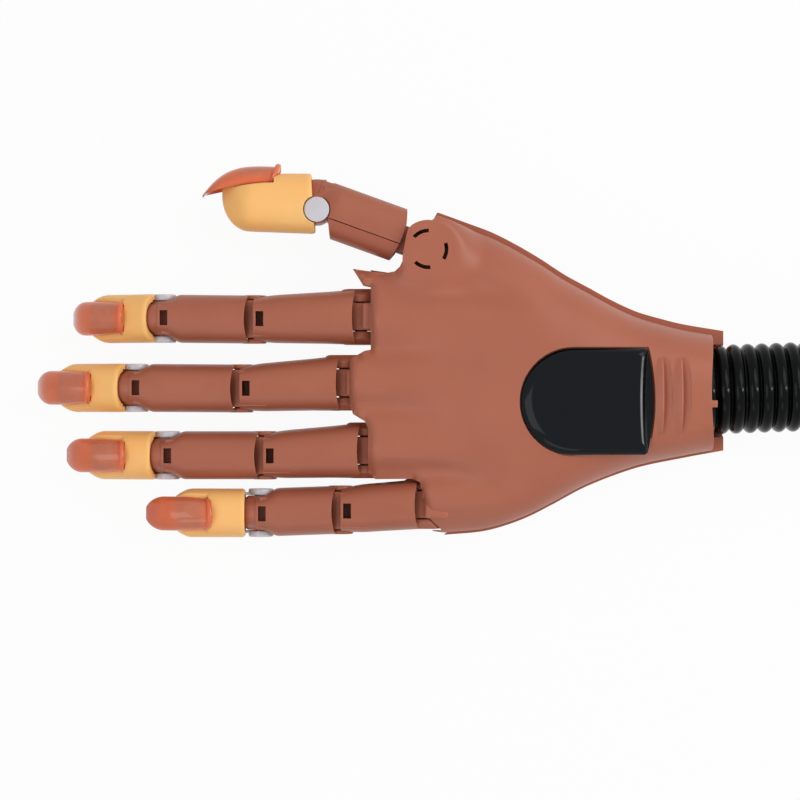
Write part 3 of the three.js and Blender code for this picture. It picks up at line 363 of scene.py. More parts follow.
def box(x0, x1, y0, y1, z0, z1, rounding=0):
    mesh = bmesh.new()
    size = Matrix.Diagonal((x1 - x0, y1 - y0, z1 - z0, 1))
    middle = Matrix.Translation(((x0 + x1) / 2, (y0 + y1) / 2, (z0 + z1) / 2))
    bmesh.ops.create_cube(mesh, size=1, matrix=middle @ size)
    return bevel(mesh, mesh.edges[:], rounding) if rounding else mesh


def slab(z0, z1):
    # all that lies between two heights
    return box(-far, far, -far, far, z0, z1)


def drum(axis, radius, centre, start, end, rounding=0, sides=72, endRadius=None):
    # a round bar along an axis; centre gives its place on the two other axes, in order
    mesh = bmesh.new()
    turn = {"X": Matrix.Rotation(pi / 2, 4, "Y"), "Y": Matrix.Rotation(-pi / 2, 4, "X"),
            "Z": Matrix.Identity(4)}
    place = list(centre)
    place.insert("XYZ".index(axis), (start + end) / 2)
    bmesh.ops.create_cone(mesh, cap_ends=True, segments=sides, radius1=radius,
                          radius2=radius if endRadius is None else endRadius, depth=end - start,
                          matrix=Matrix.Translation(place) @ turn[axis])
    if rounding:
        bevel(mesh, [e for e in mesh.edges if any(len(face.verts) > 4 for face in e.link_faces)], rounding)
    return mesh


def outlineFace(mesh, points):
    # one face inside a closed line of points
    corners = [mesh.verts.new(point) for point in points]
    line = [mesh.edges.new((a, b)) for a, b in zip(corners, corners[1:] + corners[:1])]
    return bmesh.ops.edgeloop_fill(mesh, edges=line)["faces"][0]


def plate(outline, low, high, upright=True):
    # an outline of points pulled along Z from low to high, or else drawn on X and Z and pulled along Y
    mesh = bmesh.new()
    face = outlineFace(mesh, [(a, b, low) if upright else (a, low, b) for a, b in outline])
    pulled = bmesh.ops.extrude_face_region(mesh, geom=[face])["geom"]
    rise = (0, 0, high - low) if upright else (0, high - low, 0)
    bmesh.ops.translate(mesh, verts=[v for v in pulled if isinstance(v, bmesh.types.BMVert)], vec=rise)
    bmesh.ops.recalc_face_normals(mesh, faces=mesh.faces)
    return mesh


def arcPoints(centre, radius, start, end, steps):
    turns = [radians(turn) for turn in spread(start, end, steps)]
    return [(centre[0] + radius * cos(t), centre[1] + radius * sin(t)) for t in turns]


def moved(mesh, *vec):
    bmesh.ops.translate(mesh, verts=mesh.verts, vec=vec)
    return mesh


def turned(mesh, matrix):
    bmesh.ops.transform(mesh, matrix=matrix, verts=mesh.verts)
    return mesh


def bothSides(mesh):
    # a solid and its mirror image on the other side of the middle plane
    other = mesh.copy()
    bmesh.ops.scale(other, verts=other.verts, vec=(1, -1, 1))
    bmesh.ops.reverse_faces(other, faces=other.faces)
    return mesh, other


def carve(body, *steps):
    # cuts solids from a body or joins them to it; "cut", "join" or "keep" holds for all solids that follow it
    operations = {"cut": "DIFFERENCE", "join": "UNION", "keep": "INTERSECT"}
    work = []

    def bench(mesh):
        work.append(meshObject("work", mesh))
        return work[-1]

    base = bench(body)
    for step in steps:
        if isinstance(step, str):
            operation = operations[step]
            continue
        modifier = base.modifiers.new("step", "BOOLEAN")
        modifier.operation = operation
        modifier.solver = "MANIFOLD"
        modifier.object = bench(step)
    finished = base.evaluated_get(bpy.context.evaluated_depsgraph_get())
    result = bmesh.new()
    result.from_mesh(finished.to_mesh())
    finished.to_mesh_clear()
    for workObject in work:
        data = workObject.data
        bpy.data.objects.remove(workObject)
        bpy.data.meshes.remove(data)
    if not result.faces:
        raise RuntimeError("a carve step left nothing")
    return result


def makePiece(name, mesh, look, body, node, place=Matrix.Identity(4), sharpAngle=32):
    # places a drawn mesh, turns it to metres, and hands it to the frame in place of its CAD node
    piece = meshObject(name, turned(mesh, toMetres @ place))
    piece.data.shade_smooth()
    piece.data.set_sharp_from_angle(angle=radians(sharpAngle))
    piece.data.materials.append(finishes[look].material)
    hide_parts(node)
    if body:
        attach(piece, body)
    return piece


def hingeMatrix(position, heading, back, droop=0):
    # x along the heading, z to the back of the finger, turned about the hinge towards the palm side
    heading, back = Vector(heading).normalized(), Vector(back)
    turn = Matrix((heading, back.cross(heading), back)).transposed().to_4x4()
    return Matrix.Translation(position) @ turn @ Matrix.Rotation(radians(droop), 4, "Y")


def roundedPoint(x, centreY, half, top, bottom, turn, power=2.5):
    # a point of a section that is rounder than a box and squarer than a circle
    across, up = [copysign(abs(v) ** (2 / power), v) for v in (cos(turn), sin(turn))]
    return Vector((x, centreY + half * across, (top if up > 0 else bottom) * up))


# Finger phalanges: two half shells, with a barrel at the far end and lugs or cheeks at the near end
phalanx = Sizes(
    hingeHeight=15.5, back=10.3, front=7.1, seam=1.2, gap=0.3, hingeGap=0.4, wall=1.6,
    barrelRadius=6.3, endBarrelRadius=4.4, pinRadius=2, pinLength=1.5, fingerWidth=15.4,
    tongueWidth=8.6, tongueInset=0.15, tongueReach=5.6, tongueBack=3.4,
    lugRadius=5.6, middleBarrel=11.9, cheekRadius=4, endBarrel=10.8, earRadius=4,
    nearEdge=2.8, nearSag=1.1, middleEdge=-0.2, endEdge=1.2,
    frontSeam=3.2, middleFront=6, knuckleFront=8, farSeam=4.2, farFront=6.9,
    windowLength=2.5, windowWidth=4.8, windowDepth=5.5, deepWindow=8.8, windowRim=0.75,
    flare=[(-5.4, 7.7), (-3.4, 6.9), (-1.2, 5.8), (1.2, 5.4)], taperRun=7, taper=0.7,
    nearTaper=(0.3, 0.25), endSmoothing=0.5, middleSmoothing=1.5, crownPower=2.5,
    webRun=1.2, webRoof=2.4, webInset=0.4, endWebFoot=-2.3,
    lugRun=6, lugChamfer=1.8, lugFoot=0.86, edgeRounding=0.3, ringStep=0.8,
)
gap, hingeGap = phalanx.gap, phalanx.hingeGap
barrelRoom = phalanx.barrelRadius + hingeGap


def phalanxSkin(length, shift, nearWidth, flare, start, end, grow=0):
    p = phalanx
    run, share = p.nearTaper
    widths = [(0, nearWidth / 2), (run * length, nearWidth / 2 - share * (nearWidth - p.fingerWidth))]
    if flare:
        widths += [(length + x, half) for x, half in p.flare]
    else:
        farHalf = p.fingerWidth / 2
        widths += [(length - p.taperRun, farHalf), (length + p.middleEdge, farHalf - p.taper)]
    window = p.endSmoothing if flare else p.middleSmoothing

    def ring(x, turn):
        half = sum(along(widths, x + window * k / 4) for k in range(-4, 5)) / 9 + grow
        return roundedPoint(x, shift * x / length, half, p.back + grow, p.front + grow, turn)
    return tube(spread(start, end, ceil((end - start) / p.ringStep)), ring)


def frontCut(seamX, palmX, reachX):
    # all beyond a line that slopes from the seam to the palm side
    p = phalanx
    edge = [(seamX, far), (seamX, -p.seam), (palmX, -p.front), (palmX, -far)]
    return plate([(reachX, far), *edge, (reachX, -far)], -far, far, False)


def crownedDrum(half, grow):
    # the shape that the phalanx's rounded end sweeps as it turns on its pin
    def ring(y, turn):
        crown = phalanx.back * (1 - min(abs(y) / half, 0.99) ** phalanx.crownPower) ** 0.4
        radius = max(crown + grow, phalanx.endBarrelRadius + hingeGap)
        return Vector((radius * cos(turn), y, radius * sin(turn)))
    return tube(spread(-half, half, 24), ring)


def phalanxShells(length, shift, nearWidth, knuckle, flare, rootStart=None):
    # a shell with a root start has no lugs, and begins there
    p = phalanx
    rooted = rootStart is not None
    start = rootStart if rooted else p.nearEdge - p.nearSag
    edge = p.endEdge if flare else p.middleEdge
    half = (p.endBarrel if flare else p.middleBarrel) / 2
    barrel = p.endBarrelRadius if flare else p.barrelRadius
    webFoot = p.endWebFoot if flare else -p.seam
    nearClear = p.tongueWidth / 2 + hingeGap if knuckle else p.middleBarrel / 2 + gap
    lugRadius = p.lugRadius if knuckle else p.cheekRadius
    lugOuter = nearWidth / 2 - (0.1 if knuckle else 0)
    bay = length - p.barrelRadius - p.webRun

    def skin(a, b, grow=0):
        return phalanxSkin(length, shift, nearWidth, flare, a, b, grow)

    def aside(*meshes):
        return [moved(mesh, 0, shift, 0) for mesh in meshes]

    # back shell
    steps = ["cut", skin(-0.5, bay, -p.wall), slab(-far, -p.seam)]
    if not rooted:
        sweep = (nearWidth ** 2 / 4 + p.nearSag ** 2) / (2 * p.nearSag)
        steps += [drum("Z", sweep, (p.nearEdge - sweep, 0), -far, far, sides=180),
                  drum("Y", barrelRoom, (0, 0), -nearClear, nearClear)]
    nextRadius = (p.earRadius if flare else p.cheekRadius) + hingeGap
    steps += aside(*bothSides(drum("Y", nextRadius, (length, 0), half, far)))
    web = box(bay - 1, length, p.webInset - half, half - p.webInset, webFoot, p.back - p.webRoof)
    steps += ["join", *aside(drum("Y", barrel, (length, 0), -half, half, p.edgeRounding), web)]
    if flare:
        # the hinge's crowned tongue shows between the shell and the cap
        seen = box(-p.tongueBack, p.tongueReach, -far, far, 2, far, 0.3)
        steps += [moved(carve(crownedDrum(half - 0.2, -p.tongueInset), "keep", seen), length, shift, 0)]
    hole = drum("Y", p.pinRadius + gap, (length, 0), half - p.pinLength - gap, half + 1)
    windowEnd = length + edge - p.windowRim
    wide = p.windowWidth / 2
    steps += ["cut", *aside(*bothSides(hole)),
              box(windowEnd - p.windowLength, windowEnd, shift - wide, shift + wide,
                  p.back - p["windowDepth" if flare else "deepWindow"], far)]
    if not rooted:
        lug = drum("Y", lugRadius, (0, 0), nearClear, lugOuter, p.edgeRounding)
        foot = box(0, p.lugRun, nearClear, lugOuter - 0.3, -p.seam, lugRadius * p.lugFoot)
        lugSteps = ["join", foot]
        if knuckle:
            # the lugs are chamfered towards their outer top edges
            lift = Matrix.Translation((0, lugOuter - 0.2, lugRadius - p.lugChamfer))
            lugSteps += ["cut", turned(slab(0, far), lift @ Matrix.Rotation(-pi / 4, 4, "X"))]
        pin = drum("Y", p.pinRadius, (0, 0), nearClear - p.pinLength, nearClear + 0.5)
        steps += ["join", *bothSides(carve(lug, *lugSteps, "join", pin))]
    back = carve(skin(start, length + edge), *steps)

    # front shell
    steps = ["cut", skin(-0.5, bay, -p.wall), slab(-p.seam - gap, far)]
    if not rooted:
        steps += [frontCut(p.frontSeam, p["knuckleFront" if knuckle else "middleFront"], -far)]
    clear = half + gap
    steps += [
        frontCut(length - p.farSeam, length - p.farFront, length + far),
        drum("Y", barrelRoom, (0, 0), -nearClear, nearClear),
        drum("Y", lugRadius + gap, (0, 0), -far, far),
        drum("Y", barrel + gap, (length, 0), shift - clear, shift + clear),
        box(bay - 1 - gap, length, shift - clear, shift + clear, webFoot - gap, 0),
    ]
    return back, carve(skin(start, length + edge), *steps)


def makeShells(name, node, shells, body, place):
    # the front shells, on the palm side, take the darker skin as painted shade
    for side, look, shell in zip(("Back", "Front"), ("skin", "skinDeep"), shells):
        makePiece(name + side, shell, look, body, f"{node}_{side.lower()}", place)


# Fingertips: a clear core with two ears, a soft cap over it and a press-on nail
fingertip = Sizes(
    capWidth=15.5, capTop=11.9, capBottom=6.5, capLength=25.8, room=0.45, rimRoll=0.45,
    tipRun=8.6, bellyRun=7.6, tipLift=4.6, tipThin=1.2, bellyRise=0.15,
    coreLength=17, coreTop=5.4, coreDepth=3.2, noseHalf=5.6, earHalf=2.2, armOuter=6.5,
    earThickness=2, coreRounding=0.35,
    nailBed=2.2, nailThickness=0.9, nailLength=22.2, nailBow=1.8, nailWidth=11.2,
    nailDrop=8.1, nailRise=0.9, nailArch=4.7, shoulderStart=4.3,
    bead=0.9, beadMiddle=0.034, beadHalf=0.042, thinStart=0.8, thinShare=0.15,
    dropPower=3.8, swell=(0.86, 0.14, 0.6), tipRound=(0.72, 0.3, 0.02), pinch=(0.16, 0.06),
    capTaper=(1.6, 0.7), rimShare=0.035, leanShare=0.3, roomSpread=1.05,
)


def nailCrest(t):
    return fingertip.nailRise * t - (fingertip.nailDrop + fingertip.nailRise) * t ** fingertip.dropPower


def nailPoint(tip, t, s, lift):
    # t along the nail, s across it from edge to edge, lift outwards from the middle of its thickness
    f = fingertip
    (least, gain, full), (start, run, blunt), (pinch, reach) = f.swell, f.tipRound, f.pinch
    swell = least + gain * sin(min(t / full, 1) * pi / 2)
    end = sqrt(max(1 - ((t - start) / run) ** 2, blunt)) if t > start else 1
    base = 1 - pinch * (1 - min(t / reach, 1)) ** 2
    half = f.nailWidth / 2 * swell * end * base - f.nailThickness / 2
    crest = nailCrest(t) - f.nailThickness / 2
    edge = -f.nailArch - (f.nailDrop - f.nailArch) * t * t
    turn = s * pi / 2
    y = half * sin(turn) + lift * sin(turn)
    z = crest - (crest - edge) * (1 - cos(turn)) + lift * cos(turn)
    bow = f.nailBow * (1 - t) ** 3 * s * s
    x = tip.nailSeat + tip.scale * (t * f.nailLength + bow)
    return Vector((x, tip.scale * y, f.capTop + f.nailBed + tip.scale * z))


def pressOnNail(tip):
    f = fingertip
    base = [0, 0.005, 0.012, 0.022, 0.034, 0.046, 0.058, 0.068, 0.076, 0.085]

    def ring(t, turn):
        s = cos(turn)
        # a thin free edge and a raised bead at the base
        thick = f.nailThickness / 2 * (1 - abs(s) ** 10) ** 0.5
        thin = f.thinShare * max((t - f.thinStart) / 0.2, 0)
        lift = copysign(thick * (1 - thin), sin(turn))
        if sin(turn) > 0:
            bead = max(1 - ((t - f.beadMiddle) / f.beadHalf) ** 2, 0) ** 0.5
            lift += f.bead * bead * (1 - 0.5 * abs(s) ** 6)
        return nailPoint(tip, t, s, lift)
    paint = {"along": lambda t, turn: t, "across": lambda t, turn: abs(cos(turn))}
    return tube([*base, *spread(0.1, 0.9, 24), 0.93, 0.955, 0.975, 0.99, 1], ring, 72, paint)


def nailRoom(tip):
    # the nail itself, swollen by the gap
    f = fingertip

    def ring(t, turn):
        s = cos(turn)
        lift = copysign(f.nailThickness / 2 + gap, sin(turn)) * (1 - abs(s) ** 10) ** 0.5
        point = nailPoint(tip, t, f.roomSpread * s, lift)
        point.x += gap * (2 * t - 1)
        return point
    return tube(spread(0, 1, 24), ring, 60)


def nailShoulders(tip):
    # what is cut away on both sides of the nail, down to its edge
    edge = [nailPoint(tip, t, 1.0, 0) for t in spread(0, 1, 30)]
    outline = [(point.x, point.z - gap) for point in edge]
    (x0, _), (x1, z1) = outline[0], outline[-1]
    outline += [(x1 + 5, z1), (x1 + 5, 30), (x0, 30)]
    return bothSides(plate(outline, fingertip.shoulderStart * tip.scale, far, False))


earInner = phalanx.endBarrel / 2 + gap


def coreSolid(grow):
    f, p = fingertip, phalanx
    inner = earInner - grow
    height = f.earHalf + grow
    rounding = 0 if grow else f.coreRounding
    disc = drum("Y", p.earRadius + grow, (0, 0), inner, earInner + f.earThickness + grow, rounding)
    armOuter = f.armOuter + grow
    bar = box(0, barrelRoom + 2, inner, armOuter, -height, height, min(rounding, 0.2))
    noseHalf = f.noseHalf + grow
    nose = box(0 if grow else barrelRoom, f.coreLength + grow, -noseHalf, noseHalf,
               -f.coreDepth - grow, f.coreTop + grow, rounding)
    neck = box(barrelRoom, barrelRoom + 4, -armOuter, armOuter, -height, height, rounding)
    return carve(nose, "join", neck, *bothSides(disc), *bothSides(bar))


def clearTip():
    pin = drum("Y", phalanx.pinRadius, (0, 0), earInner - phalanx.pinLength, earInner + 0.5)
    clear = drum("Y", barrelRoom, (0, 0), 0.01 - earInner, earInner - 0.01)
    return carve(coreSolid(0), "cut", clear, "join", *bothSides(pin))


def capShape(x, tip):
    f, scale = fingertip, tip.scale
    end = tip.capSeat + f.capLength * scale
    t = clamped((x - tip.nailSeat) / (f.nailLength * scale))
    widthRun = clamped((x - end) / (f.tipRun * scale) + 1, 0, 0.995)
    bellyRun = clamped((x - end) / (f.bellyRun * scale) + 1, 0, 0.995)
    half = scale * f.capWidth / 2 * (1 - widthRun ** f.capTaper[0]) ** f.capTaper[1]
    top = f.capTop + scale * nailCrest(t) - f.tipThin * t
    belly = scale * f.capBottom * (1 - f.bellyRise * (x - tip.capSeat) / (end - tip.capSeat))
    bottom = belly - (1 - sqrt(1 - bellyRun ** 2)) * (belly + f.tipLift)
    return half, top, bottom


def softCap(tip):
    f, p = fingertip, phalanx
    long = f.capLength * tip.scale
    shares = [0, 0.006, 0.018, f.rimShare, *spread(0.06, 0.66, 16)]
    shares += [1 - 0.34 * (1 - k / 16) ** 2 for k in range(1, 17)]
    middle = (f.capTop - f.capBottom) / 2
    tall = (f.capTop + f.capBottom) / 2

    def ring(share, turn):
        x = tip.capSeat + share * long
        half, top, bottom = capShape(x, tip)
        height = (top + bottom) / 2
        # the rim is rolled over, not cut square
        rolled = f.rimRoll * max(1 - share / f.rimShare, 0) ** 2
        point = roundedPoint(x, 0, half - rolled, height - rolled, height - rolled, turn)
        point.z += (top - bottom) / 2
        point.x += tip.rimLean * (point.z - middle) / tall * max(1 - share / f.leanShare, 0)
        return point

    # the phalanx turns under the cap's back; below, only its barrel needs room
    half = p.endBarrel / 2 + hingeGap
    crownRoom = carve(crownedDrum(half, f.room), "cut", slab(-far, -1))
    barrelPlace = drum("Y", p.endBarrelRadius + hingeGap, (0, 0), -half, half)
    beside = drum("Y", p.earRadius + gap, (0, 0), -far, far)
    return carve(tube(shares, ring), "cut", nailRoom(tip), *nailShoulders(tip), coreSolid(gap), crownRoom,
                 barrelPlace, beside)


def makeFingertip(name, tip, place):
    makePiece(f"{name}ClearTip", clearTip(), "core", f"{name}_tip", f"{name}_tip_core", place)
    makePiece(f"{name}SoftCap", softCap(tip), "tip", f"{name}_tip", f"{name}_cap", place)
    makePiece(f"{name}PressOnNail", pressOnNail(tip), "nail", f"{name}_nail_body", f"{name}_nail", place)


fingers = {
    "index": Sizes(knuckle=(-63.7, 23.7), middle=(-98, 22.9), end=(-127, 23.2), droop=23,
                   capSeat=1.1, nailSeat=7.6, width=18),
    "middle": Sizes(knuckle=(-68.8, 2.6), middle=(-102.3, 0.8), end=(-135.9, 1.0), droop=19,
                    capSeat=2.1, nailSeat=9.8, width=18),
    "ring": Sizes(knuckle=(-62.1, -19), middle=(-94.7, -20.6), end=(-125.8, -20.6), droop=13,
                  capSeat=3.0, nailSeat=9.8, width=18),
    "little": Sizes(knuckle=(-43.8, -36.2), middle=(-70.2, -38.1), end=(-95.8, -39), droop=3,
                    capSeat=4.8, nailSeat=14, width=16),
}


def makeFinger(name, finger):
    def at(spot, droop=0):
        return hingeMatrix((*spot, phalanx.hingeHeight), (-1, 0, 0), (0, 0, 1), droop)
    knuckle, middle, end = finger.knuckle, finger.middle, finger.end
    shells = phalanxShells(knuckle[0] - middle[0], knuckle[1] - middle[1], finger.width, True, False)
    makeShells(f"{name}First", f"{name}_proximal", shells, f"{name}_proximal", at(knuckle))
    shells = phalanxShells(middle[0] - end[0], middle[1] - end[1], phalanx.fingerWidth, False, True)
    makeShells(f"{name}Second", f"{name}_middle", shells, f"{name}_middle", at(middle))
    makeFingertip(name, Sizes(finger, scale=1, rimLean=-0.7), at(end, finger.droop))


# Thumb: a root barrel that swivels between the palm's shells, and one phalanx clamped on its neck
thumb = Sizes(
    base=(-42.3, 44.9), hinge=(-77.7, 57.7), height=16.5, rootRadius=7.4, phalanxStart=10.6,
    pivotRadius=2.8, neckEnd=28.8, capSeat=1.3, nailSeat=11.6, scale=1.13, rimLean=0.6,
    nearBulge=1.6, bulgeRadius=23.4, bulgeMiddle=1.6, neckHalf=4.2, neckBottom=-3.9, neckTop=5,
    bossRadius=9.2, bossTop=27.2, bossBottom=5, bossPlate=2.3, pivotRoof=0.9, bossBlend=(9.4, 18),
    slotInner=5.2, slotOuter=6.4, slotSpan=52, slotAngles=(114, -7, 251),
    grooveInner=4.2, grooveDepth=5, flatPlace=(-48.3, 53.9), flatSlope=0.192, flatBlend=0.5, mouth=(20, 7.75),
    bossLevel=(0.1, 0.13, 6), bossTaper=0.8, bossRounding=0.7, bossFoot=1,
)
thumbHeading = atan2(thumb.hinge[1] - thumb.base[1], thumb.hinge[0] - thumb.base[0])
roomBottom = thumb.bossBottom + thumb.bossPlate
roomTop = thumb.bossTop - thumb.bossPlate


def makeThumb():
    t = thumb
    x, y = cos(thumbHeading), sin(thumbHeading)
    place = hingeMatrix((*t.base, t.height), (x, y, 0), (y, -x, 0))
    reach = dist(t.base, t.hinge)
    low, high = roomBottom + gap - t.height, roomTop - gap - t.height
    pivot = t.bossPlate - t.pivotRoof
    neck = phalanxSkin(reach, 0, phalanx.fingerWidth, True, t.phalanxStart + gap, t.neckEnd,
                       -phalanx.wall - gap)
    root = carve(drum("Y", t.rootRadius, (0, 0), low, high, 0.4),
                 "join", drum("Y", t.pivotRadius, (0, 0), low - pivot, high + pivot),
                 box(0, t.phalanxStart + 1, -t.neckHalf, t.neckHalf, t.neckBottom, t.neckTop, 0.8),
                 neck)
    # a groove round the top of the root keeps the boss's slots dark
    groove = carve(drum("Y", t.rootRadius - 0.4, (0, 0), high - t.grooveDepth, high + 1),
                   "cut", drum("Y", t.grooveInner, (0, 0), -far, far))
    # the root takes the darker skin as painted shade
    makePiece("thumbRoot", carve(root, "cut", groove), "skinDeep", "thumb_base", "thumb_root", place)
    # the near end bulges towards the boss
    start = t.phalanxStart - t.nearBulge
    bulge = drum("Y", t.bulgeRadius, (start + t.bulgeRadius, t.bulgeMiddle), -far, far, sides=200)
    outside = carve(box(start - 2, start + 6, -far, far, -far, far), "cut", bulge)
    back, front = phalanxShells(reach, 0, phalanx.fingerWidth, False, True, start)
    shells = carve(back, "cut", outside.copy()), carve(front, "cut", outside)
    makeShells("thumb", "thumb_phalanx", shells, "thumb_base", place)
    makeFingertip("thumb", t, hingeMatrix((*t.hinge, t.height), (-1, 0, 0), (0, 1, 0)))


# Palm: a domed back shell and a palm-side shell that meet at a seam
palm = Sizes(
    seam=14, wall=2.2, crown=33, knuckleCrown=27.6, crownStart=-62, crownRun=70, flat=0.4, hollow=(-46, 20),
    edgeRoll=3, rollEnd=-30, bodyStart=-72, frontStart=-63,
    tendonHeight=1.5, tendonWidth=5.2, tendonStart=45, tendonRun=40,
    creaseDepth=2.6, creaseWidth=4.5, creasePlace=(-50, 36), creaseSlope=0.22, creaseStart=-8, creaseRun=22,
    # middle, start, run and depth of each hollow between two knuckles
    valleys=((13, -34, 26, 2.2), (-5.6, -34, 26, 2.2), (-26, -20, 22, 2.6)), valleyWidth=3.6,
    tongueRun=12, knuckleSetBack=5.5, rim=1.4, seenRim=1.9, lowerRim=0.4,
    cuff=50, cuffLip=1.8, cuffCurve=90, cuffSag=3.3, cuffSlack=0.8, collar=5,
    tab=(46, 48.6, -5.2, -3, 31.8, 32.6),
    ridges=(31.0, 37.0), ridgeLength=25, ridgeHeight=1.3, ridgeSide=1.6,
    screws=((28, 17), (28, -17.5), (-34, 26), (-26, -30)), screwHead=2.9, screwShank=1.5, headHeight=2.3,
    crossHalf=1.7, crossWidth=0.35, crossDepth=1.4,
    screwPost=4.2, backPost=2.7, screwDepth=3.4, deepScrew=5.4, screwTop=22,
    thumbSide=((52.8, 17.4), (40.2, 19.5), (32.4, 21.4), (24.7, 23.7), (17, 27.2), (9.3, 31.4), (1.6, 35.6),
               (-6.2, 40.7), (-13.9, 45.2), (-21.6, 49.1), (-29.3, 52), (-39.2, 55.6)),
    littleSide=((-37, -45.5), (-25.5, -44.5), (-17.7, -42.6), (-10, -39.7), (-2.3, -35.8), (9.3, -29.7),
                (24.7, -24), (40.2, -20.7), (52.8, -18.4)),
    knuckleEdge=((-50.4, 41.2), (-51.3, 39.3), (-53, 37.9), (-55.5, 37.5), (-60, 38), (-66.2, 38.9),
                 (-63, 33.8), (-60.5, 33.3), (-60.5, 13.1), (-62.5, 12.7), (-66, 10.7), (-67.2, 9.9),
                 (-67.2, -4.2), (-66.1, -7.4), (-62.3, -9.7), (-61.3, -12.2), (-61.3, -25.9), (-59.1, -28.1),
                 (-47.4, -28), (-44.8, -29), (-42.2, -43), (-40.6, -45)),
    # height shares across a grip ridge, and across the groove beside it
    ridge=((-3.4, -1.2), (-2.6, 0.1), (-1.3, 0.55), (0, 0.95), (0.35, 1), (0.7, 0.85), (0.85, -1.2),
           (0, -1.4)),
    groove=((0.7, 1.6), (0.75, -0.75), (1.15, -0.7), (2, -0.4), (3.4, 0.05), (3.4, 1.6), (2, 1.7),
            (1.2, 1.7)),
)
cover = Sizes(
    centre=(3.6, -3.4), radius=16.8, end=26.7, slack=1.9, thickness=3, proud=0.3, endBow=0.6, corner=1.2,
    flatCentre=(6.6, -2.9), flatRadius=14.3, flatEnd=24.7, flatMiddle=8.6, shoulder=1.7,
    flangeHalf=16.2, flangeBow=16.4, flangeHeight=0.8, hollowHalf=9,
)
coverFloor = palm.crown - cover.thickness - gap + cover.proud


def smoothLine(points, steps):
    # a smooth line through the given points
    points = [Vector(point) for point in points]
    ends = [2 * points[0] - points[1], *points, 2 * points[-1] - points[-2]]
    line = []
    for share in spread(0, len(points) - 1, steps):
        k = min(int(share), len(points) - 2)
        t = share - k
        a, b, c, d = ends[k:k + 4]
        line.append(b + 0.5 * t * (c - a + t * (2 * a - 5 * b + 4 * c - d + t * (3 * (b - c) + d - a))))
    return [(point.x, point.y) for point in line]


thumbLine = smoothLine(palm.thumbSide, 88)
littleLine = smoothLine(palm.littleSide, 80)
thumbSideAt, littleSideAt = sorted(thumbLine), sorted(littleLine)


def flattened(x, y):
    # the thumb's boss is flat where the thumb's end passes it
    (flatX, flatY), slope, blend = thumb.flatPlace, thumb.flatSlope, thumb.flatBlend
    past = (flatX - slope * (flatY - y) - x) / blend
    return x + blend * log(1 + exp(min(past, 30)))


def flatSided(mesh):
    for vert in mesh.verts:
        vert.co.x = flattened(vert.co.x, vert.co.y)
    return mesh


def palmPlan(rim, back):
    boss = [(flattened(x, y), y) for x, y in arcPoints(thumb.base, thumb.bossRadius, 82, 205, 32)]
    return [*((x, y + rim) for x, y in thumbLine), *boss, *((x + back, y) for x, y in palm.knuckleEdge),
            *((x, y - palm.lowerRim * rim) for x, y in littleLine)]


def ease(t):
    t = clamped(t)
    return t * t * (3 - 2 * t)


def hump(y, middle, width):
    return exp(-((y - middle) / width) ** 2)


def backAt(x, y):
    # height of the back of the hand: a crown, tendons to the knuckles and a crease by the thumb
    p = palm
    upper, lower = along(thumbSideAt, x), along(littleSideAt, x)
    u = clamped((2 * y - upper - lower) / (upper - lower), -1)
    crown = p.knuckleCrown + (p.crown - p.knuckleCrown) * ease((x - p.crownStart) / p.crownRun)
    z = p.seam + (crown - p.seam) * (1 - abs(u) ** 3) ** 0.5
    for finger in fingers.values():
        rise = p.tendonHeight * ease((finger.knuckle[0] + p.tendonStart - x) / p.tendonRun)
        z += rise * hump(y, finger.knuckle[1], p.tendonWidth)
    for middle, start, run, depth in p.valleys:
        z -= depth * ease((start - x) / run) * hump(y, middle, p.valleyWidth)
    creaseX, creaseY = p.creasePlace
    crease = exp(-((y - creaseY + p.creaseSlope * (x - creaseX)) / p.creaseWidth) ** 2)
    z -= p.creaseDepth * ease((p.creaseStart - x) / p.creaseRun) * crease
    # the thumb's boss runs out smoothly into the back of the hand
    near, end = thumb.bossBlend
    reach = hypot(x - thumb.base[0], y - thumb.base[1])
    sunk, rise, run = thumb.bossLevel
    level = thumb.bossTop - sunk + rise * ease((x - thumb.base[0] + run) / run)
    return z + (level - z) * ease((end - reach) / (end - near))


def edgeDistance(x, y, edge):
    # how far a point lies inside the knuckle edge
    nearest = []
    for (x0, y0), (x1, y1) in zip(edge, edge[1:]):
        run = (x1 - x0) ** 2 + (y1 - y0) ** 2
        t = clamped(((x - x0) * (x1 - x0) + (y - y0) * (y1 - y0)) / run)
        nearest.append(hypot(x - x0 - t * (x1 - x0), y - y0 - t * (y1 - y0)))
    return min(nearest)


def palmBody(stations, over, under, base, sides, height):
    # a skin with over steps from side to side along a curved surface, and under steps back along a flat one
    def ring(x, turn):
        k = round(turn / (2 * pi) * (over + under))
        first, second = sides(along(thumbSideAt, x), along(littleSideAt, x))
        if over < k < over + under:
            return Vector((x, second + (first - second) * (k - over - 1) / (under - 2), base))
        u = cos(k % (over + under) / over * pi)
        y = (first + second) / 2 + (first - second) / 2 * u
        return Vector((x, y, height(x, y, abs(u))))
    return tube(stations, ring, over + under)


def backBody(stations, base, inset, rolled=False):
    roll = palm.edgeRoll

    def height(x, y, u):
        z = backAt(x, y) - inset
        if rolled and x < palm.rollEnd:
            inside = min(edgeDistance(x, y, palm.knuckleEdge[1:]), roll)
            z -= roll - sqrt(roll ** 2 - (roll - inside) ** 2)
        return max(z, base + 0.5)
    return palmBody(stations, 96, 16, base, lambda upper, lower: (upper - inset, lower + inset), height)


def frontBody(stations, top, inset, rim):
    def height(x, y, u):
        share = max(u - palm.flat, 0) / (1 - palm.flat)
        return min((palm.seam - 2) * (1 - (1 - share ** 2.4) ** 0.45) + inset, top - 0.5)

    def sides(upper, lower):
        return lower - palm.lowerRim * rim + inset, upper + rim - inset
    return palmBody(stations, 80, 12, top, sides, height)


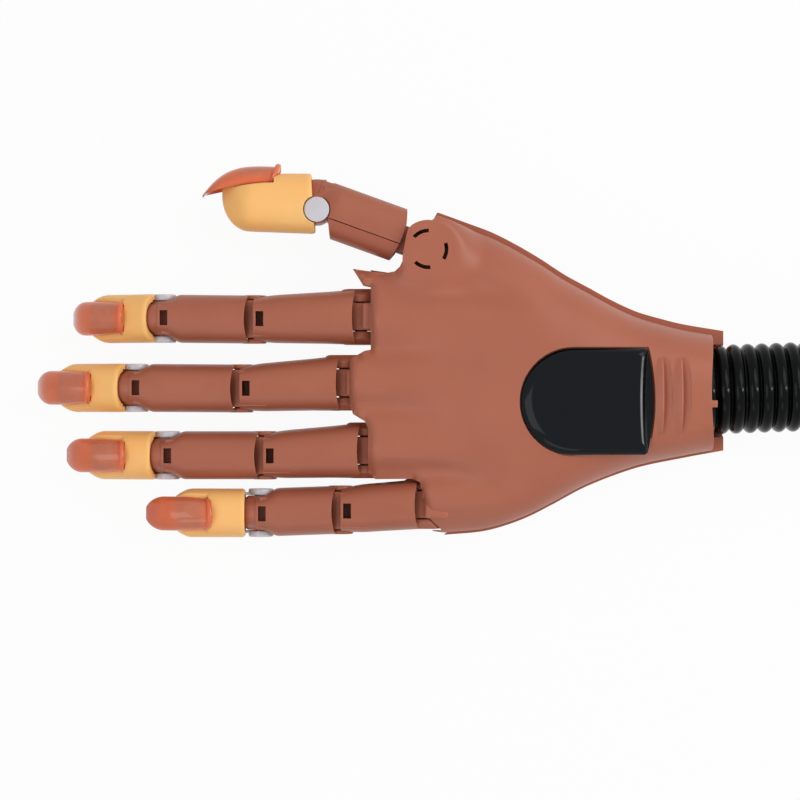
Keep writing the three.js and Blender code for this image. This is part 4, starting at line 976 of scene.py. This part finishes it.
def sharedHollow():
    # the cuff's bore, the arm's core and the thumb's root, cut out of both shells
    t, p = thumb, palm
    line = (0, arm.height)
    place = Matrix.Translation((*t.base, 0)) @ Matrix.Rotation(thumbHeading, 4, "Z")
    return [
        "cut",
        drum("X", arm.radius + p.cuffSlack, line, arm.start - p.collar - 2 * gap, far, sides=96),
        drum("X", arm.coreRadius + gap, line, arm.coreStart - gap, arm.start),
        drum("Z", t.rootRadius + hingeGap, t.base, roomBottom, roomTop),
        drum("Z", t.pivotRadius + gap, t.base, t.bossBottom + t.pivotRoof, t.bossTop - t.pivotRoof),
        turned(box(0, t.mouth[0], -t.mouth[1], t.mouth[1], roomBottom, roomTop), place),
    ]


def knuckleTongue(finger):
    x, y = finger.knuckle
    p, z = phalanx, phalanx.hingeHeight
    half, hole = p.tongueWidth / 2, p.pinRadius + gap
    depth = half - p.pinLength - gap
    return carve(drum("Y", p.barrelRadius, (x, z), y - half, y + half, 0.3), "join",
                 box(x, x + palm.tongueRun, y - half, y + half, z - p.barrelRadius, z + p.barrelRadius, 0.3),
                 box(x + 0.4, x + 8, y - half, y + half, z, z + p.back - 1.4, 0.9),
                 "cut", drum("Y", hole, (x, z), y + depth, y + half + 1),
                 drum("Y", hole, (x, z), y - half - 1, y - depth))


def arcSlot(angle):
    t = thumb
    start, end = angle - t.slotSpan / 2, angle + t.slotSpan / 2
    outline = arcPoints(t.base, t.slotOuter, start, end, 16) + arcPoints(t.base, t.slotInner, end, start, 16)
    return plate(outline, t.bossTop - 4, t.bossTop + 4)


def gripRidge(x, profile):
    # rises softly towards the cuff and drops off sharply, and dies out at both ends
    half, middle = palm.ridgeLength / 2, cover.centre[1] + palm.ridgeSide

    def ring(y, turn):
        fade = max(1 - ((y - middle) / half) ** 2, 0) ** 0.5
        dx, share = profile[round(turn / (2 * pi) * len(profile)) % len(profile)]
        z = backAt(x, y) + (share * palm.ridgeHeight * fade - 0.12 if -1 < share <= 1 else share)
        return Vector((x + dx * (0.5 + 0.5 * fade), y, z))
    return tube(spread(middle - half, middle + half, 40), ring, 8)


def makePalmBack():
    p, t, c = palm, thumb, cover
    stations = spread(p.bodyStart, -40, 52) + spread(-38.8, p.cuff + p.cuffLip, 64)
    boss = carve(drum("Z", t.bossRadius, t.base, p.seam, t.bossTop, sides=96,
                      endRadius=t.bossRadius - t.bossTaper))
    rims = [edge for edge in boss.edges
            if all(v.co.z > t.bossTop - 0.01 for v in edge.verts) and edge.calc_face_angle(0) > 0.5]
    steps = ["keep", plate(palmPlan(0, 0), p.seam, far), "join", bevel(flatSided(boss), rims, t.bossRounding)]
    steps += ["cut", backBody(spread(*p.hollow, 30), p.seam - 1, p.wall + c.thickness)]
    for finger in fingers.values():
        (x, y), half = finger.knuckle, finger.width / 2 + 0.5
        steps += [drum("Y", phalanx.lugRadius + 0.6, (x, phalanx.hingeHeight), y - half, y + half)]
    steps += ["join", *(knuckleTongue(finger) for finger in fingers.values())]
    for spot in p.screws:
        steps += ["join", drum("Z", p.backPost, spot, p.seam, p.screwTop + 1.4, sides=40),
                  "cut", drum("Z", p.screwShank + gap, spot, p.seam - 1, p.screwTop + 0.8, sides=24)]
    for x in p.ridges:
        steps += ["join", gripRidge(x, p.ridge), "cut", gripRidge(x, p.groove)]
    (cx, cy), r, edge = c.centre, c.radius + gap + 0.1, c.end + gap + 0.1
    opening = arcPoints(c.centre, r, 90, 270, 64)
    opening += [(edge + c.slack * (1 - ((y - cy) / r) ** 2), y) for y in spread(cy - r, cy + r, 32)]
    steps += [*sharedHollow(), *map(arcSlot, t.slotAngles), plate(opening, coverFloor, far)]
    # the cuff's edge curves in over the hose, with a small tab in its middle
    curve = p.cuff - p.cuffSag + p.cuffCurve
    steps += [drum("Z", p.cuffCurve, (curve, 0), p.seam - 1, far, sides=360)]
    steps += ["join", box(*p.tab, 0.2)]
    shell = carve(backBody(stations, p.seam, 0, True), *steps)
    makePiece("palmBack", shell, "skinPalm", "palm", "palm_back_shell")


def screwDepthAt(x):
    # the screws by the cuff lie deep in the palm's slope
    return palm.screwDepth + (palm.deepScrew if x > 0 else 0)


def makePalmFront():
    p, t = palm, thumb
    top, z = p.seam - gap, phalanx.hingeHeight
    boss = drum("Z", t.bossRadius - t.bossFoot, t.base, t.bossBottom, top, sides=96, endRadius=t.bossRadius)
    steps = ["keep", plate(palmPlan(p.seenRim, p.knuckleSetBack), -1, top), "join", flatSided(boss)]
    steps += ["cut", frontBody(spread(*p.hollow, 30), top + 2, p.wall, p.rim)]
    beside = phalanx.tongueWidth / 2 + gap
    for finger in fingers.values():
        (x, y), half = finger.knuckle, finger.width / 2 + 0.6
        steps += [drum("Y", barrelRoom, (x, z), y - half, y + half),
                  box(x, x + p.tongueRun + gap, y - beside, y + beside, z - phalanx.barrelRadius - gap, far)]
    # the posts end flush with the palm
    outer = frontBody(spread(p.frontStart, p.cuff, 60), top, 0.3, p.seenRim)
    for spot in p.screws:
        steps += ["join", carve(drum("Z", p.screwPost, spot, 0.2, top, sides=40), "keep", outer.copy()),
                  "cut", drum("Z", p.screwHead + gap, spot, -1, screwDepthAt(spot[0]), sides=40),
                  drum("Z", p.screwShank + gap, spot, 0, far, sides=24)]
    shell = frontBody(spread(p.frontStart, p.cuff + p.cuffLip + 1, 90), top, 0, p.seenRim)
    # the palm-side shell takes the darker skin as painted shade
    makePiece("palmFront", carve(shell, *steps, *sharedHollow()), "skinDeep", "palm", "palm_front_shell")


def coverLine(centre, radius, end):
    # always the same number of points round the curve, the sides and the straight edge
    cx, cy = centre
    corner, bow = cover.corner, cover.endBow
    points = arcPoints(centre, radius, 90, 270, 72)
    points += [(x, cy - radius) for x in spread(cx, end - corner, 16)[1:]]
    points += arcPoints((end - corner, cy - radius + corner), corner, 270, 360, 8)[1:]
    edge = spread(cy - radius + corner, cy + radius - corner, 24)[1:]
    points += [(end - bow * (1 - ((y - cy) / (radius - corner)) ** 2), y) for y in edge]
    points += arcPoints((end - corner, cy + radius - corner), corner, 0, 90, 8)[1:]
    return points + [(x, cy + radius) for x in spread(end - corner, cx, 16)[1:-1]]


def makeWristCover():
    c = cover
    base = coverFloor + gap
    top, rise = base + c.thickness, c.shoulder
    outer, inner = coverLine(c.centre, c.radius, c.end), coverLine(c.flatCentre, c.flatRadius, c.flatEnd)
    # each level has a height and a share of the way from the outer line to the inner one and on to the middle
    levels = [(base, 0), (top - rise - 0.5, 0), (top - rise - 0.15, 0.015), (top - rise, 0.05)]
    for k in range(1, 20):
        left = 1 - k / 20
        levels.append((top - rise * (0.35 * left + 0.65 * left ** 3), 0.05 + 0.95 * k / 20))
    levels += [(top, 1), (top + 0.01, 1.02), (top + 0.02, 1.25), (top + 0.03, 1.7)]
    middle = Vector((c.flatCentre[0] + c.flatMiddle, c.flatCentre[1], 0))

    def ring(level, turn):
        z, share = level
        k = round(turn / (2 * pi) * len(outer)) % len(outer)
        first, second = Vector((*outer[k], 0)), Vector((*inner[k], 0))
        point = second.lerp(middle, (share - 1) / 0.75) if share > 1 else first.lerp(second, share)
        return Vector((point.x, point.y, z))
    cx, cy = c.centre
    # a low flange fills the opening behind the straight edge
    flange = [(c.end - 2, cy + c.flangeHalf), (c.end - 2, cy - c.flangeHalf)]
    flange += [(c.end + c.slack * (1 - ((y - cy) / c.flangeBow) ** 2), y)
               for y in spread(cy - c.flangeHalf, cy + c.flangeHalf, 40)]
    hollow = box(cx - c.hollowHalf, c.end - 3, cy - c.hollowHalf, cy + c.hollowHalf, 0, base + 0.9)
    shell = carve(tube(levels, ring, len(outer)), "join", plate(flange, base, base + c.flangeHeight),
                  "cut", hollow)
    makePiece("wristCover", shell, "black", "cover", "wrist_cover")


def makePalmScrews():
    p = palm
    for i, (x, y) in enumerate(p.screws):
        depth = screwDepthAt(x)
        head = drum("Z", p.screwHead, (x, y), depth - gap - p.headHeight, depth - gap, 0.35, 40)
        cross = [box(x - a, x + a, y - b, y + b, 0, depth - p.crossDepth)
                 for a, b in ((p.crossHalf, p.crossWidth), (p.crossWidth, p.crossHalf))]
        shank = drum("Z", p.screwShank, (x, y), depth - 1, p.screwTop, sides=24)
        makePiece(f"palmScrew{i + 1}", carve(head, "join", shank, "cut", *cross), "steel", "palm",
                  f"palm_screw_{i + 1}")


# Gooseneck: a core that bends and stays put, inside three lengths of ribbed sleeve
arm = Sizes(
    start=40, height=16.5, slope=0.04, radius=14.35, valley=12.5, bore=10.6, pitch=4.57, ribs=16, ribSteps=14,
    ribFullness=0.62, sections=3, coreRadius=7, coreStart=26, socketCore=11,
)
sectionLength = arm.pitch * arm.ribs
armLength = sectionLength * arm.sections


def armCentre(s):
    # the arm leaves the cuff at a slight lean and straightens along its length
    run = clamped(s, 0, armLength)
    lean = arm.slope * (1 - run / armLength) if s > 0 else 0
    return arm.start + s, arm.slope * (run - run * run / (2 * armLength)), lean


def armTube(stations, radiusAt, around=72):
    def ring(s, turn):
        x, y, lean = armCentre(s)
        across = radiusAt(s) * cos(turn)
        return Vector((x - lean * across, y + across, arm.height + radiusAt(s) * sin(turn)))
    return tube(stations, ring, around)


def sleeveRadius(s):
    # full round ribs with narrow valleys between them
    return arm.valley + (arm.radius - arm.valley) * abs(sin(pi * s / arm.pitch)) ** arm.ribFullness


def makeArm():
    last = arm.sections - 1
    for k in range(arm.sections):
        start, end = k * sectionLength, (k + 1) * sectionLength
        squareEnd = arm.slope * arm.radius if k == 0 else 0
        stations = spread(start + gap / 2 + squareEnd, end - gap / 2, arm.ribs * arm.ribSteps)
        bore = armTube(spread(start - 1, end + 1, 32), lambda s: arm.bore)
        sleeve = carve(armTube(stations, sleeveRadius), "cut", bore)
        sleeve = makePiece(f"armSleeve{k + 1}", sleeve, "hose", None, f"arm_sleeve_{k + 1}", sharpAngle=50)
        coreFrom = start + gap / 2 if k else arm.coreStart - arm.start
        coreTo = end + (arm.socketCore if k == last else -gap / 2)
        core = armTube(spread(coreFrom, coreTo, 60), lambda s: arm.coreRadius, 32)
        core = makePiece(f"armCore{k + 1}", core, "steel", None, f"arm_core_{k + 1}")
        first, second = armCentre(start + 2), armCentre(end - 2)
        for part in (sleeve, core):
            first[0] * mm
            first[1] * mm
            second[0] * mm
            second[1] * mm
            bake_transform(part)
    outer, line = arm.radius + palm.cuffSlack - gap, (0, arm.height)
    collar = carve(drum("X", outer, line, arm.start - palm.collar - gap, arm.start - gap, 0.5),
                   "cut", drum("X", arm.coreRadius + gap, line, 0, far))
    makePiece("wristCollar", collar, "hose", "palm", "wrist_collar")


# Bench clamp: the arm's socket, a C frame with ribs round its webs, and a screw with a pad and a knob
clamp = Sizes(
    width=33, socketOverlap=8, socketFloor=14, socketRadius=16.5, jaw=11, jawPad=2, grooves=9, screwOffset=14,
    spineOffset=14, spine=13, opening=52, throat=44, corner=8, bossRadius=9, bossStand=3, rib=3, ribDepth=4,
    screwRadius=5, screwSeat=3, threadPitch=4, threadDepth=0.55, threadShare=0.42, threadSteps=40,
    padRadius=12, padThickness=5, padTravelGap=16, padRings=(4, 7.5),
    knobRadius=15, knobLength=16, knobSocket=12, standoff=20, lobes=6, wave=1.5, dish=(5, 9),
)
armEndX, armEndY, _ = armCentre(armLength)
jawStart = armEndX + gap + clamp.socketFloor
jawFace = jawStart + clamp.jaw
lowerJaw = jawFace + clamp.opening
clampEnd = lowerJaw + clamp.jaw
spineY = armEndY + clamp.spineOffset
padStart = jawFace + clamp.jawPad + gap + clamp.padTravelGap
padEnd = padStart + clamp.padThickness
knobStart = clampEnd + clamp.bossStand + clamp.standoff
screwLine = (armEndY - clamp.screwOffset, arm.height)
socketLine = (armEndY, arm.height)


def clampPlan(inset):
    c = clamp
    corner, inner = c.corner, 1.2 if inset else 2.5
    outer, tip = spineY + c.spine - inset, spineY - c.throat + inset
    left, right, root = jawStart + inset, clampEnd - inset, spineY + inset
    near, beyond = jawFace - inset, lowerJaw + inset
    return [
        (left, tip), (near, tip), (near, root - inner), (near + inner, root), (beyond - inner, root),
        (beyond, root - inner), (beyond, tip), (right, tip),
        *arcPoints((right - corner, outer - corner), corner, 0, 90, 12),
        *arcPoints((left + corner, outer - corner), corner, 90, 180, 12),
    ]


def makeClampFrame():
    c = clamp
    bossEnd, socket = clampEnd + c.bossStand, armEndX - c.socketOverlap
    body = carve(roundEdges(plate(clampPlan(0), 0, c.width), 1.0),
                 "cut", plate(clampPlan(c.rib), -1, c.ribDepth),
                 plate(clampPlan(c.rib), c.width - c.ribDepth, far),
                 "join", drum("X", c.bossRadius, screwLine, lowerJaw, bossEnd, 0.8),
                 "cut", drum("X", c.screwRadius + gap, screwLine, lowerJaw - 1, bossEnd + 1),
                 "join", drum("X", c.socketRadius, socketLine, socket, jawStart + 2, 0.8, 96),
                 "cut", drum("X", arm.radius + 0.5, socketLine, socket - 1, armEndX + gap, sides=96),
                 drum("X", arm.coreRadius + gap, socketLine, armEndX, armEndX + arm.socketCore + gap))
    makePiece("clampFrame", body, "clamp", "clamp_body", "clamp_frame")


def makeJawPad():
    c = clamp
    face, low, high = jawFace + gap, spineY - c.throat + 2, spineY - 4
    pad = box(face, face + c.jawPad, low, high, c.rib, c.width - c.rib, 0.5)
    grooves = [box(face + c.jawPad - 0.5, face + 9, y - 0.5, y + 0.5, 0, far)
               for y in spread(low, high, c.grooves)[1:-1]]
    makePiece("jawPad", carve(pad, "cut", *grooves), "rubber", "clamp_body", "clamp_jaw_pad")


def makeClampPad():
    c = clamp
    disc = drum("X", c.padRadius - 1, screwLine, padStart, padEnd, 0.5, 96, c.padRadius)
    seat = drum("X", c.screwRadius + gap, screwLine, padEnd - c.screwSeat, padEnd + 1)
    rings = [carve(drum("X", radius + 0.4, screwLine, padStart - 1, padStart + 0.4),
                   "cut", drum("X", radius - 0.4, screwLine, padStart - 2, padStart + 1))
             for radius in c.padRings]
    makePiece("clampPad", carve(disc, "cut", seat, *rings), "rubber", "pad_body", "clamp_pad")


def makeClampScrew():
    # a thread groove wound round the bar by spinning a small wedge along it
    c = clamp
    start, end = padEnd - c.screwSeat + gap, knobStart + c.knobSocket - gap
    bar = drum("X", c.screwRadius, screwLine, start, end, 0.6)
    first, last = start + 5, knobStart - 2
    turns = int((last - first) / c.threadPitch)
    reach, root, wide = c.screwRadius + 0.5, c.screwRadius - c.threadDepth, c.threadShare * c.threadPitch
    corners = ((0, reach), (0.35, root), (0.65, root), (1, reach))
    wedge = bmesh.new()
    face = outlineFace(wedge, [(first + x * wide, screwLine[0] + r, arm.height) for x, r in corners])
    bmesh.ops.spin(wedge, geom=[face, *face.edges, *face.verts], cent=(0, *screwLine), axis=(1, 0, 0),
                   dvec=(c.threadPitch / c.threadSteps, 0, 0), angle=2 * pi * turns,
                   steps=c.threadSteps * turns, use_merge=False, use_duplicate=False)
    makePiece("clampScrew", carve(bar, "cut", closed(wedge)), "steel", "screw_body", "clamp_screw")


def makeKnob():
    c = clamp
    steps = 12 * c.lobes
    turns = [i / steps * 2 * pi for i in range(steps)]
    radii = [c.knobRadius - c.wave + c.wave * cos(c.lobes * turn) for turn in turns]
    outline = [(radius * cos(turn), radius * sin(turn)) for radius, turn in zip(radii, turns)]
    stand = Matrix.Translation((knobStart, *screwLine)) @ Matrix.Rotation(pi / 2, 4, "Y")
    knob = turned(roundEdges(plate(outline, 0, c.knobLength), 1.6, 60), stand)
    end = knobStart + c.knobLength
    socket = drum("X", c.screwRadius + gap, screwLine, knobStart - 1, knobStart + c.knobSocket)
    dish = drum("X", c.dish[0], screwLine, end - 0.8, end + 2, sides=96, endRadius=c.dish[1])
    makePiece("clampKnob", carve(knob, "cut", socket, dish), "clamp", "screw_body", "clamp_knob")


for name, finger in fingers.items():
    makeFinger(name, finger)
print("fingers made")
makeThumb()
print("thumb made")
for make in (makePalmBack, makePalmFront, makeWristCover, makePalmScrews):
    make()
print("palm made")
makeArm()
print("arm made")
for make in (makeClampFrame, makeJawPad, makeClampPad, makeClampScrew, makeKnob):
    make()
print("clamp made")


# the CAD's own nodes take a finish by name: the first row whose word is in the name
nodeFinish = {
    "_nail": "nail", "_cap": "tip", "_tip_core": "core", "wrist_cover": "black", "sleeve": "hose",
    "collar": "hose", "arm_core": "steel", "screw": "steel", "pad": "rubber", "clamp": "clamp",
    # the palm-side shells take the darker skin as painted shade
    "_front": "skinDeep", "palm_back": "skinPalm", "": "skin",
}
for name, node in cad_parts.items():
    look = next(look for part, look in nodeFinish.items() if part in name)
    node.data.materials.clear()
    node.data.materials.append(finishes[look].material)
print("CAD nodes finished:", len(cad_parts))
